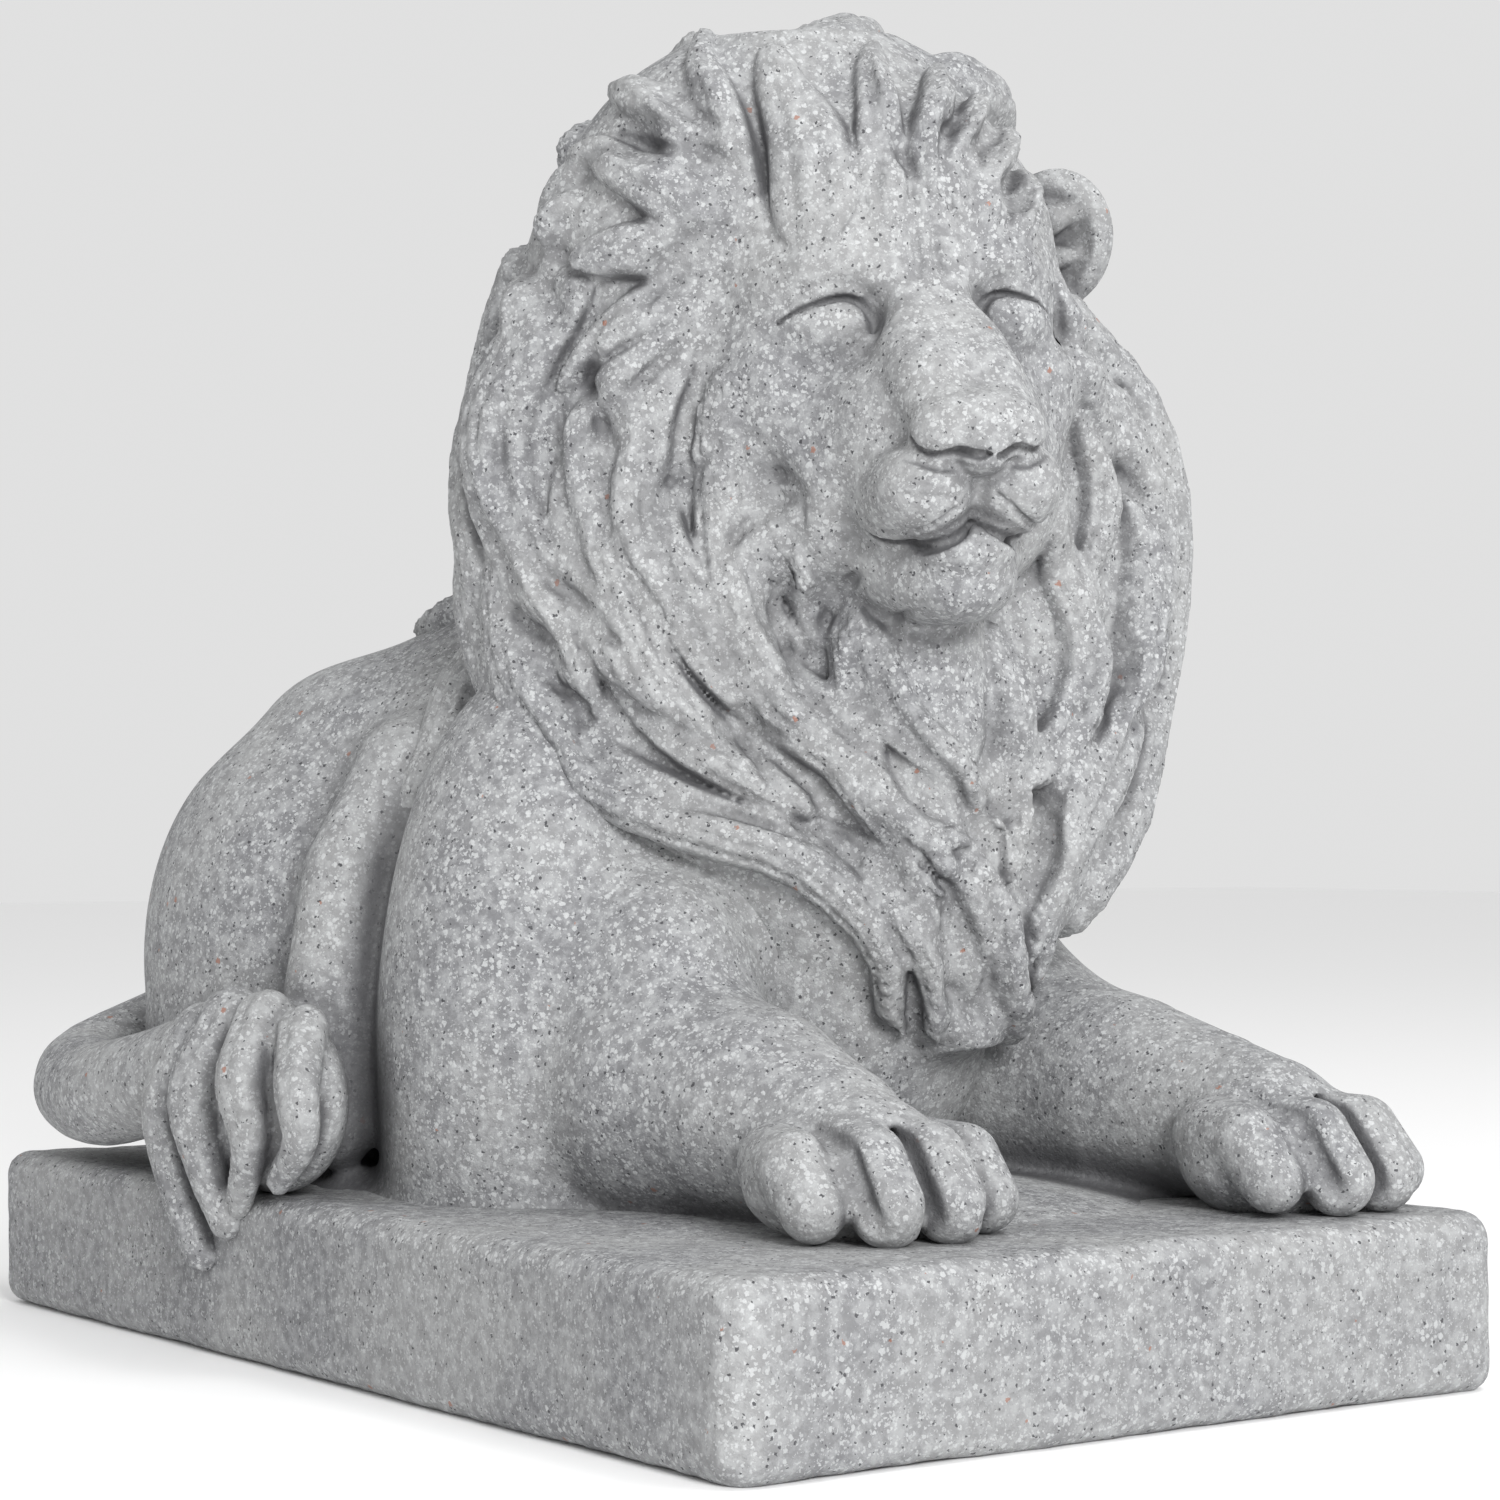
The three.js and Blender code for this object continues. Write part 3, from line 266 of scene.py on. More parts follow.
def lock(path, outward, widths, heights, strands, groove):  # a flat tapering lock of hair
    p, n = np.array(path, float), np.array(outward, float)
    w, h = np.array(widths, float), np.array(heights, float)

    def stretch(i):
        run = unitVector(p[i + 1] - p[i])
        out = n[i] + n[i + 1]
        out = unitVector(out - (out @ run) * run)
        side = np.cross(run, out)

        def near(x, y, z):
            t, dx, dy, dz = barOffset(p[i], p[i + 1], x, y, z)
            width = w[i] + (w[i + 1] - w[i]) * t
            height = h[i] + (h[i + 1] - h[i]) * t
            rise = dx * out[0] + dy * out[1] + dz * out[2]
            far = dx * dx + dy * dy + dz * dz
            share = np.sqrt(np.maximum(far - rise * rise, 0) / width**2 + (rise / height) ** 2)
            gap = np.where(share > 0.08, np.sqrt(far) * (1 - 1 / np.maximum(share, 0.08)), -height)
            across = np.clip((dx * side[0] + dy * side[1] + dz * side[2]) / width, -1, 1)
            valley = 1 - np.abs(np.cos(math.pi / 2 * strands * across))
            return gap + groove * unit * valley**1.5 * np.clip(rise / height * 2 + 0.6, 0, 1)

        ends, reach = p[i : i + 2], np.maximum(w, h)[i : i + 2, None]
        return near, (ends - reach).min(0), (ends + reach).max(0)

    return [stretch(i) for i in range(len(p) - 1)]


def headStack(levels):  # ellipses across the head: height, half width, half depth, left, forward
    smooth = curve(levels, len(levels) * 4 + 1)
    first, last = levels[0][0], levels[-1][0]
    m = headAxes()
    eyes = onHead(0, 0, 0)

    def near(x, y, z):
        px, py, pz = (x - eyes[0]) / unit, (y - eyes[1]) / unit, (z - eyes[2]) / unit
        left, forward, height = (px * a[0] + py * a[1] + pz * a[2] for a in m)
        shape = (np.interp(height, smooth[:, 0], smooth[:, k]) for k in (1, 2, 3, 4))
        width, depth, toLeft, toFront = shape
        u, v = (left - toLeft) / width, (forward - toFront) / depth
        far = np.sqrt(u * u + v * v)
        steep = np.maximum(np.sqrt((u / width) ** 2 + (v / depth) ** 2), 1e-6)
        side = np.where(far < 0.25, -0.75 * np.minimum(width, depth), far * (far - 1) / steep)
        return np.maximum(side, np.maximum(first - height, height - last)) * unit

    # a box that holds all the levels
    corners = [onHead(a, b, c) for a in (-115, 115) for b in (-125, 60) for c in (first, last)]
    return [(near, np.min(corners, 0), np.max(corners, 0))]


# the lion's body

body = {
    "trunk": [  # middle, radii, seam
        ((-15, 112, 60), (83, 75, 78), 8),
        ((-6, 70, 86), (74, 82, 90), 20),
        ((8, 20, 78), (78, 80, 86), 20),
        ((18, -22, 76), (74, 52, 80), 18),
    ],
    "mound": [((-6, 58, -20), (112, 156, 34), 12), ((20, -70, -22), (100, 120, 29), 10)],
    "spine": -14,  # how far the hips are set to the lion's right
    "haunch": [
        ((36, 104, 116), (36, 46, 40), 16),
        ((60, 108, 64), (40, 60, 70), 10),
        ((70, 100, 30), (30, 58, 36), 10),
    ],
    "stifle": [(58, 46, 124, 10), (76, 44, 92, 12), (84, 40, 56, 13), (84, 38, 20, 12)],
    "stifleSeam": 16,
    "flank": ((44, -8, 44), (44, 46, 106), 12),
    "flankFold": [(76, 26, 128, 3), (92, 24, 92, 4), (98, 22, 52, 4), (96, 20, 22, 3)],
    "flankFoldSeam": 8,
    "leftFlank": ((40, 4, 60), (46, 46, 84), 12),  # the shoulder fills the fold on this side
}


def addTrunk(clay):
    for middle, radii, seam in body["trunk"] + body["mound"]:
        clay.add(ellipsoid(spot(*middle), radii), seam)


def addHaunches(clay):
    for side in (-1, 1):
        def out(x, y, z):
            return spot(body["spine"] + side * x, y, z)

        for middle, radii, seam in body["haunch"]:
            clay.add(ellipsoid(out(*middle), radii), seam)
        clay.add(barsAt(out, body["stifle"]), body["stifleSeam"])
        if side > 0:
            middle, radii, seam = body["leftFlank"]
            clay.add(ellipsoid(spot(*middle), radii), seam)
            continue
        middle, radii, seam = body["flank"]
        clay.add(ellipsoid(out(*middle), radii), seam)
        clay.cut(barsAt(out, body["flankFold"]), body["flankFoldSeam"])


paws = {
    "right": {"at": (-43, -142), "height": 30, "turn": -6},
    "left": {"at": (90, -158), "height": 33, "turn": 6},
    "palm": {"up": 0.42, "radii": (33, 24), "thick": 0.55, "seam": 8},  # up and thick: of the height
    "toes": [(-25, 6, 10), (-9, 15, 11.5), (9, 15, 11.5), (25, 6, 10)],  # across, forward, radius
    "toe": [(0.85, -14, 0.62, 1), (1, 2, 0.6, 1), (1.03, 12, 0.3, 0.86)],  # spread, ahead, up, size
    "toeSeam": 2.5,
    "gaps": (-17, 0, 17),  # across
    "gap": [(2, 0.95, 1.5), (20, 0.8, 2.2), (33, 0.2, 2.4)],  # forward, up, radius
    "gapSeam": 3.5,
}


def addPaw(clay, paw):
    a = math.radians(paw["turn"])
    height = paw["height"]
    axes = np.array([[math.cos(a), math.sin(a), 0], [math.sin(a), -math.cos(a), 0], [0, 0, 1]])

    def onPaw(across, forward, up):
        return spot(*paw["at"], up * height) + (axes[0] * across + axes[1] * forward) * unit

    palm = paws["palm"]
    radii = [*palm["radii"], height * palm["thick"]]
    clay.add(ellipsoid(onPaw(0, 0, palm["up"]), radii, axes), palm["seam"])
    for across, forward, radius in paws["toes"]:
        toe = [(across * k, forward + ahead, up, radius * size) for k, ahead, up, size in paws["toe"]]
        clay.add(barsAt(onPaw, toe), paws["toeSeam"])
    for across in paws["gaps"]:
        clay.cut(barsAt(onPaw, [(across, *mark) for mark in paws["gap"]]), paws["gapSeam"])


forelegs = {
    "right": {
        "shoulder": [((-44, -46, 60), (29, 33, 34), 10), ((-50, -58, 30), (28, 30, 32), 10)],
        "arm": [(-48, -62, 34, 31), (-43, -95, 28, 28), (-41, -125, 21, 22), (-42, -142, 18, 18)],
    },
    "elbowFold": [(-88, -56, 100, 5), (-92, -58, 60, 8), (-94, -60, 22, 6)],
    "left": {
        "shoulder": [((80, -30, 48), (34, 42, 38), 14), ((82, -54, 32), (32, 38, 32), 12)],
        "arm": [(84, -60, 32, 31), (86, -98, 28, 28), (89, -130, 24, 23), (90, -153, 22, 19)],
    },
    "seam": 10,
}


def addForeleg(clay, leg):
    for middle, radii, seam in leg["shoulder"]:
        clay.add(ellipsoid(spot(*middle), radii), seam)
    clay.add(barsAt(spot, leg["arm"]), forelegs["seam"])


def addForelegs(clay):
    addForeleg(clay, forelegs["right"])
    clay.cut(barsAt(spot, forelegs["elbowFold"]), forelegs["seam"])
    addForeleg(clay, forelegs["left"])
    addPaw(clay, paws["right"])
    addPaw(clay, paws["left"])


tail = {
    "onBody": [(-20, 178, 64), (-62, 189, 40)],
    "onEdge": [(22, 180, 25), (8, 142, 22), (7, 104, 28), (8, 70, 36)],  # beside the plinth's edge
    "rootRadius": 18,
    "tipRadius": 15,
    "steps": 22,
    "seam": 6,
    "bulb": ((10, 36, 27), (14, 36, 27), 8),  # the middle of the tuft
    "tuft": [  # each strand's marks beside the plinth's edge, and its half width
        ([(4, 68, 42), (-4, 73, 24), (-4, 68, 4), (-2, 57, -18)], 12),
        ([(3, 50, 48), (-7, 52, 28), (-5, 48, 8), (-2, 42, -8)], 11),
        ([(4, 32, 49), (-7, 24, 34), (-5, 22, 16), (-1, 36, -2)], 10),
        ([(7, 14, 46), (-1, 2, 32), (-1, 0, 18), (0, 14, 6)], 9),
    ],
    "tuftSteps": 12,
    "tuftTip": 0.5,  # of a strand's width
    "tuftHeight": 0.8,
    "tuftHair": (3, 1.2),  # strands, depth of the grooves
    "tuftSeam": 2,
}


def addTail(clay):
    marks = [spot(*mark) for mark in tail["onBody"]] + [edgeSpot(*mark) for mark in tail["onEdge"]]
    path = curve(marks, tail["steps"])
    clay.add(limb(path, np.linspace(tail["rootRadius"], tail["tipRadius"], len(path))), tail["seam"])
    middle, radii, seam = tail["bulb"]
    clay.add(ellipsoid(edgeSpot(*middle), radii), seam)
    steps = tail["tuftSteps"]
    outward = np.tile([-1.0, 0, 0.2], (steps, 1))
    for strand, width in tail["tuft"]:
        points = curve([edgeSpot(*mark) for mark in strand], steps)
        widths = np.linspace(width, width * tail["tuftTip"], steps) * unit
        heights = widths * tail["tuftHeight"]
        clay.add(lock(points, outward, widths, heights, *tail["tuftHair"]), tail["tuftSeam"])


# the head

maneLevels = [  # height, half width, half depth, left, forward
    (-206, 9, 9, 10, -8),
    (-192, 20, 14, 8, -12),
    (-176, 42, 22, 4, -20),
    (-160, 62, 34, 0, -32),
    (-145, 80, 46, -4, -46),
    (-120, 93, 55, -6, -60),
    (-90, 101, 55, -5, -66),
    (-55, 103, 52, -5, -67),
    (-25, 98, 51, -7, -66),
    (5, 84, 50, -12, -65),
    (30, 77, 47, -12, -61),
    (52, 63, 43, -14, -57),
    (68, 50, 36, -13, -53),
    (79, 31, 25, -14, -50),
]

maneMass = {  # middle, radii, seam
    "seam": 10,
    "ruff": ((-6, -96, -34), (82, 56, 84), 16),
    "chest": ((24, -52, 62), (46, 34, 60), 14),
    "beard": [(0, -12, -88, 20), (2, -10, -130, 21), (5, -10, -165, 16), (9, -8, -195, 9)],
    "beardSeam": 14,
    "nape": ((14, 8, 168), (60, 62, 56), 18),
}


def addManeMass(clay):
    clay.add(headStack(maneLevels), maneMass["seam"])
    middle, radii, seam = maneMass["ruff"]
    clay.add(ellipsoid(onHead(*middle), radii, headAxes()), seam)
    middle, radii, seam = maneMass["chest"]
    clay.add(ellipsoid(spot(*middle), radii), seam)
    clay.add(barsAt(onHead, maneMass["beard"]), maneMass["beardSeam"])
    middle, radii, seam = maneMass["nape"]
    clay.add(ellipsoid(spot(*middle), radii), seam)


skull = {  # what lies on both sides is given for the left one
    "bone": [((0, -34, 4), (52, 42, 46), 6), ((0, -18, 18), (36, 24, 26), 8),
             ((0, -26, 42), (36, 26, 22), 8)],
    "brow": [(8, -5, 13, 10), (20, -6, 14, 9), (34, -15, 9, 9)],
    "browSeam": 9,
    "cheeks": [((32, -20, -22), (21, 22, 25)), ((25, -16, -48), (19, 26, 28)),
               ((17, 0, -36), (15, 26, 22))],
    "cheekSeam": 10,
}


def addSkull(clay):
    for middle, radii, seam in skull["bone"]:
        clay.add(faceLump(1, middle, radii), seam)
    for side in (-1, 1):
        clay.add(barsAt(faceSide(side), skull["brow"]), skull["browSeam"])
        for middle, radii in skull["cheeks"]:
            clay.add(faceLump(side, middle, radii), skull["cheekSeam"])


muzzle = {
    "bridge": [(4, -9, 10, 12), (6, 6, -6, 11.5), (8, 28, -24, 11), (8.5, 38, -33, 8.5)],
    "bridgeSeam": 8,
    "middle": ((0, 12, -46), (22, 28, 20), 8),
    "whiskerCheeks": [  # middle, radii, turn, seam
        ((12.5, 32, -51), (13.5, 14.5, 12.5), 14, 3),
        ((16, 18, -53), (10.5, 17, 13), 10, 5),
    ],
    "nose": ((0, 43, -35), (17.5, 10, 8.5), 4),
    "noseNod": -22,
    "noseWing": ((12, 42, -38), (6.5, 9, 6), 2.5),
    "chin": [((0, 25, -77), (14.5, 12.5, 10.5), 3), ((0, 29, -68), (13.5, 13, 8.5), 4),
             ((0, 10, -76), (15, 20, 12), 6)],
    "jaw": [(9, 14, -74, 10), (16, -2, -69, 11), (24, -18, -60, 13)],
    "jawSeam": 8,
}


def addMuzzle(clay):
    for side in (-1, 1):
        clay.add(barsAt(faceSide(side), muzzle["bridge"]), muzzle["bridgeSeam"])
    middle, radii, seam = muzzle["middle"]
    clay.add(faceLump(1, middle, radii), seam)
    for side in (-1, 1):
        for middle, radii, turn, seam in muzzle["whiskerCheeks"]:
            clay.add(faceLump(side, middle, radii, turn), seam)
    middle, radii, seam = muzzle["nose"]
    clay.add(faceLump(1, middle, radii, 0, muzzle["noseNod"]), seam)
    middle, radii, seam = muzzle["noseWing"]
    for side in (-1, 1):
        clay.add(faceLump(side, middle, radii), seam)
    for middle, radii, seam in muzzle["chin"]:
        clay.add(faceLump(1, middle, radii), seam)
    for side in (-1, 1):
        clay.add(barsAt(faceSide(side), muzzle["jaw"]), muzzle["jawSeam"])


mouth = {
    "noseTip": ((0, 45, -42), (7, 8, 6.5), 4),
    "groove": [(0, 52, -47, 0.8), (0, 45, -51, 1.5), (0, 44, -56, 1.7), (0, 45, -60, 1.2)],
    "grooveSeam": 2,
    "lines": [  # marks, width, depth, seam: lips, nostril, whiskers
        ([(0, 45, -59.5), (6, 43, -64), (12, 38, -67), (18, 28, -68), (23, 16, -62)], 3.6, 3.2, 1.5),
        ([(2, 48, -56), (7, 47, -59.5), (14, 40, -62), (20, 29, -61), (25, 18, -56)], 1.8, 1.4, 1),
        ([(1, 56, -44), (7, 53, -45), (13, 47, -42.5), (18, 38, -36)], 3.0, 2.8, 1.5),
        ([(5, 50, -47), (13, 46, -46), (20, 38, -44)], 1.8, 0.8, 1),
        ([(6, 50, -51), (14, 46, -50), (21, 38, -48)], 1.8, 0.8, 1),
        ([(4, 50, -55), (12, 46, -54), (19, 38, -52)], 1.8, 0.8, 1),
    ],
}


def carveMouth(clay):
    middle, radii, seam = mouth["noseTip"]
    clay.add(faceLump(1, middle, radii), seam)
    clay.cut(barsAt(onFace, mouth["groove"]), mouth["grooveSeam"])
    for side in (-1, 1):
        for marks, width, depth, seam in mouth["lines"]:
            carveLine(clay, faceSide(side), marks, width, depth, seam)


cheekHollow = {  # between the face and the mane
    "marks": [(36, -24, 6, 4), (36, -24, -8, 7), (33, -21, -20, 9), (31, -18, -31, 9), (27, -14, -41, 8),
              (23, -9, -52, 6), (20, -3, -62, 3)],
    "seam": 12,
}


def carveCheeks(clay):
    for side in (-1, 1):
        clay.cut(barsAt(faceSide(side), cheekHollow["marks"]), cheekHollow["seam"])


eyes = {
    "socket": ((26, 13, 0), (12, 8, 8), 9),
    "socketTurn": -20,
    "ball": ((24.5, -3.5, -5.5), (13.5, 12.5, 9.5), 6),
    "brow": [(14, 2, 8, 3), (22, 4, 11, 4), (31, 0, 10, 4), (38, -9, 5, 3)],
    "browSeam": 6,
    "lid": [(17, 7, 0.5), (22, 8, 3.5), (28, 6, 4), (35, -1, 1)],
    "lidRadii": (1.2, 2, 2.4, 2.6, 2.6, 2.6, 2.4, 2, 1.2),
    "lidSunk": 1.2,
    "lidSeam": 2,
    "lines": [  # marks, width, depth, seam
        ([(15.5, 7, -9), (16, 8, -4), (18.5, 9, 0.5), (23.5, 8.5, 2.5), (30, 5, 1),
          (38, -5, -5)], 2.6, 2.4, 1.2),
        ([(15, 5, 1), (14.5, 8, -4), (13.5, 12, -10)], 2.6, 1.0, 3),  # inner corner
        ([(3, 8, 19), (2.5, 8, 12), (3.5, 10, 6)], 2.2, 1.3, 2),  # frown
    ],
    "ridge": [(13, 1, 17, 2), (13, 3.5, 11, 2.6), (14, 6, 7, 2)],
    "ridgeSeam": 4,
}


def addEyes(clay):
    for side in (-1, 1):
        place = faceSide(side)
        middle, radii, seam = eyes["socket"]
        clay.cut(faceLump(side, middle, radii, eyes["socketTurn"]), seam)
        middle, radii, seam = eyes["ball"]
        clay.add(faceLump(side, middle, radii), seam)
        clay.add(barsAt(place, eyes["brow"]), eyes["browSeam"])
        lid = [place(*mark) for mark in curve(eyes["lid"], len(eyes["lidRadii"]))]
        clay.add(limb(clay.onto(lid, -eyes["lidSunk"]), eyes["lidRadii"]), eyes["lidSeam"])
        for marks, width, depth, seam in eyes["lines"]:
            carveLine(clay, place, marks, width, depth, seam)
        clay.add(barsAt(place, eyes["ridge"]), eyes["ridgeSeam"])


ears = {
    "at": (69, -62, 22),
    "radii": (17.5, 9, 21),
    "turn": 25,
    "nod": 10,
    "tilt": 10,
    "seam": 3,
    "cover": (4, (16, 9, 20), 4),  # forward, radii, seam: hair over the right ear
    "bowl": (9, (12.5, 7.5, 16), 2.5),
    "hair": [(-17, -17), (-8, -3), (1, 11)],  # in the left ear: heights of root and tip
    "hairRoot": (-14, 2),  # out and forward
    "hairTip": (9, 3),
    "hairRadii": (6.0, 5.2, 1.5),
    "hairSeam": 2,
}


def addEars(clay):
    left, forward, up = ears["at"]
    for side in (-1, 1):
        axes = turnedAxes(-side * ears["turn"], ears["nod"], -side * ears["tilt"])
        middle = onHead(side * left, forward, up)
        clay.add(ellipsoid(middle, ears["radii"], axes), ears["seam"])
        ahead, radii, seam = ears["cover"] if side < 0 else ears["bowl"]
        shape = ellipsoid(middle + axes[1] * ahead * unit, radii, axes)
        if side < 0:
            clay.add(shape, seam)
            continue
        clay.cut(shape, seam)
        for heights in ears["hair"]:
            root, tip = (
                middle + (axes[1] * ahead + axes[0] * side * out + axes[2] * height) * unit
                for (out, ahead), height in zip((ears["hairRoot"], ears["hairTip"]), heights)
            )
            middleOfHair = (root + tip) / 2 + axes[1] * 2
            clay.add(limb([root, middleOfHair, tip], ears["hairRadii"]), ears["hairSeam"])


# the mane is laid out round the face: 0 at the crown, -90 at the lion's right, 180 under the
# chin; and from 0 at the face to 1 at the rim and 2 on the nape

maneChart = {  # each row of sizes is for the crown, the side, the jowl and the beard
    "angles": (0, 80, 130, 180),
    "hairline": (60, 57, 66, 78),
    "rim": (98, 98, 124, 182),
    "rimBack": (44, 54, 44, 0),
    "middle": (-6, -20),  # forward and up of the eyes
    "napeIn": 30,
    "napeBack": 62,
}


def chart(angle, reach):
    rows = (maneChart[key] for key in ("hairline", "rim", "rimBack"))
    inner, outer, back = (np.interp(abs(angle), maneChart["angles"], row) for row in rows)
    forward, up = maneChart["middle"]
    past = max(reach - 1, 0)
    radius = outer - maneChart["napeIn"] * past**2 if past else inner + (outer - inner) * reach
    forward = forward - back - maneChart["napeBack"] * past if past else forward - back * reach**2
    a = math.radians(angle)
    return onHead(radius * math.sin(a), forward, up + radius * math.cos(a))


def fullness(t):  # of a lock, from its root to its tip
    return np.sqrt(np.minimum(1, (t + 0.05) / 0.28)) * np.sqrt(1 - t) + 0.14


def lockAlong(clay, path, width, height, strands, groove, root):  # root: share of the height there
    share = np.linspace(0, 1, len(path))
    fat = fullness(share)
    tall = (0.25 + 0.75 * fat) * np.minimum(1, root + share / 0.5)
    outward = clay.slopeAt(path, 6)
    return lock(path, outward, fat * width * unit, tall * height * unit, strands, groove)


hairFlow = {
    "leaving": 30,  # how far a lock stands away from the face
    "away": (0.9, 0.5),  # out and back, where it leaves the face
    "overHead": (0.7, 0.9),  # out and back, on top of the head
    "topFrom": 10,  # over the eyes, where the top begins
    "frontFrom": -60,  # where it starts to fall to the chest
    "blend": 12,
    "fall": 1.1,
    "fallOnTop": 0.8,  # less, over the head
    "chest": (0, -110),
    "steps": 12,
    "sway": 0.5,
}


def flow(place, run):  # the way loose hair runs
    axes = headAxes()
    left, forward, up = axes @ (place - onHead(0, 0, 0)) / unit
    out = unitVector(left * axes[0] + (up + 20) * axes[2])
    leave = math.exp(-run / hairFlow["leaving"])
    high = 1 / (1 + math.exp((hairFlow["topFrom"] - up) / hairFlow["blend"]))
    outward, back = (a * leave + b * high for a, b in zip(hairFlow["away"], hairFlow["overHead"]))
    way = out * outward - axes[1] * back
    way = way + np.array([0, 0, -hairFlow["fall"] * (1 - hairFlow["fallOnTop"] * high)])
    front = 1 / (1 + math.exp((forward - hairFlow["frontFrom"]) / -hairFlow["blend"]))
    middle = np.array([*hairFlow["chest"], 0]) * unit - place
    middle[2] = 0
    return unitVector(way + unitVector(middle) * (front - 0.25) * (1 - high))


def loosePath(clay, root, length, phase):  # over the mane's mass, swaying once
    steps = hairFlow["steps"]
    path = [clay.onto(root)[0]]
    for i in range(steps):
        out = clay.slopeAt(path[i])[0]
        way = flow(path[i], i * length / steps)
        way = unitVector(way - (way @ out) * out)
        sway = hairFlow["sway"] * math.sin(phase + i / steps * 2 * math.pi)
        way = spun(way, out, math.degrees(sway))
        path.append(clay.onto(path[i] + way * length / steps * unit)[0])
    return np.array(path)


maneLocks = [  # marks round the face, half width, height
    ([(-112, 1.0), (-123, 1.04), (-138, 0.98), (-152, 0.8), (-164, 0.68), (-174, 0.78),
      (-177, 1.02)], 12, 12),
    ([(-118, 1.15), (-132, 1.18), (-141, 1.22), (-148, 1.14)], 11, 9),
    ([(-70, 0.8), (-90, 0.97), (-105, 0.96), (-124, 0.85), (-137, 0.86)], 14, 11),
    ([(-98, 0.67), (-124, 0.65), (-140, 0.63), (-154, 0.57), (-165, 0.55)], 13, 11),
    ([(-84, 0.3), (-107, 0.42), (-131, 0.36), (-153, 0.33), (-172, 0.37), (-181, 0.6)], 12, 12),
    ([(-90, 0.02), (-121, 0.09), (-145, 0.21), (-164, 0.25), (-178, 0.36), (-182, 0.6)], 10, 10),
    ([(-112, -0.1), (-130, 0.02), (-144, 0.1), (-156, 0.1)], 9, 8),
    ([(-134, -0.1), (-150, -0.03), (-158, 0.07)], 8, 7),
    ([(-160, -0.1), (-170, 0.04), (-174, 0.24), (-183, 0.5)], 9, 8),
    ([(-172, -0.05), (-178, 0.12), (-184, 0.46)], 10, 8),
    ([(161, 0.05), (167, 0.32), (174, 0.48)], 9, 8),
    ([(126, -0.05), (142, 0.4), (154, 0.47), (171, 0.46), (176, 0.64)], 10, 10),
    ([(88, 0.5), (112, 0.7), (135, 0.72), (153, 0.71), (165, 0.74), (173, 0.9)], 12, 11),
    ([(74, 0.8), (95, 0.9), (120, 0.96), (143, 0.95), (160, 0.95), (165, 1.1)], 13, 10),
    ([(150, 0.6), (161, 0.63), (167, 0.78), (173, 0.96)], 9, 8),
    ([(68, 0.25), (90, 0.35), (114, 0.36), (136, 0.3)], 11, 9),
    ([(-174, 0.5), (-180, 0.75), (-181, 0.97)], 9, 8),
    ([(178, 0.55), (176, 0.85), (175, 1.1)], 8, 8),
]

crownLocks = [  # marks left, forward and up of the eyes, half width, height
    ([(-29, 2, 24), (-31, 4, 42), (-31, -3, 58), (-29, -24, 71)], 15, 8),
    ([(-46, -8, 22), (-47, -12, 42), (-45, -25, 58), (-42, -42, 68)], 11, 7),
    ([(-7, 6, 27), (-8, 9, 46), (-4, -8, 63), (-1, -26, 70)], 9, 8),
    ([(6, 7, 27), (8, 8, 46), (15, -9, 61), (20, -24, 67)], 8, 8),
    ([(16, 6, 24), (19, 9, 41), (27, -2, 56), (32, -12, 62)], 7, 8),
    ([(24, 4, 22), (30, 4, 37), (42, -8, 48), (50, -14, 52)], 7, 7),
    ([(32, 1, 16), (40, -3, 28), (52, -20, 38), (60, -30, 42)], 7, 7),
    ([(-50, -10, 18), (-61, -20, 34), (-72, -34, 44), (-78, -50, 46)], 12, 8),
    ([(-52, -15, 36), (-58, -21, 52), (-64, -36, 62), (-66, -50, 64)], 10, 7),
    ([(-56, -14, 13), (-70, -23, 19), (-82, -35, 16), (-91, -42, 4)], 10, 8),
    ([(-58, -20, 4), (-70, -22, 2), (-82, -28, -6), (-91, -38, -18)], 9, 8),
    ([(-56, -23, -2), (-67, -25, -12), (-79, -30, -20), (-91, -32, -36), (-97, -37, -56)], 9, 8),
    ([(-80, -46, 44), (-90, -50, 30), (-94, -45, 12)], 9, 7),
    ([(-90, -55, 18), (-101, -52, 4), (-107, -46, -12)], 9, 8),
    ([(-100, -52, -6), (-111, -50, -24), (-114, -54, -42)], 9, 8),
    ([(-12, -42, 72), (3, -54, 70), (13, -70, 60), (20, -86, 44)], 14, 8),
    ([(24, -30, 66), (36, -44, 60), (46, -62, 48), (52, -78, 32)], 12, 8),
]

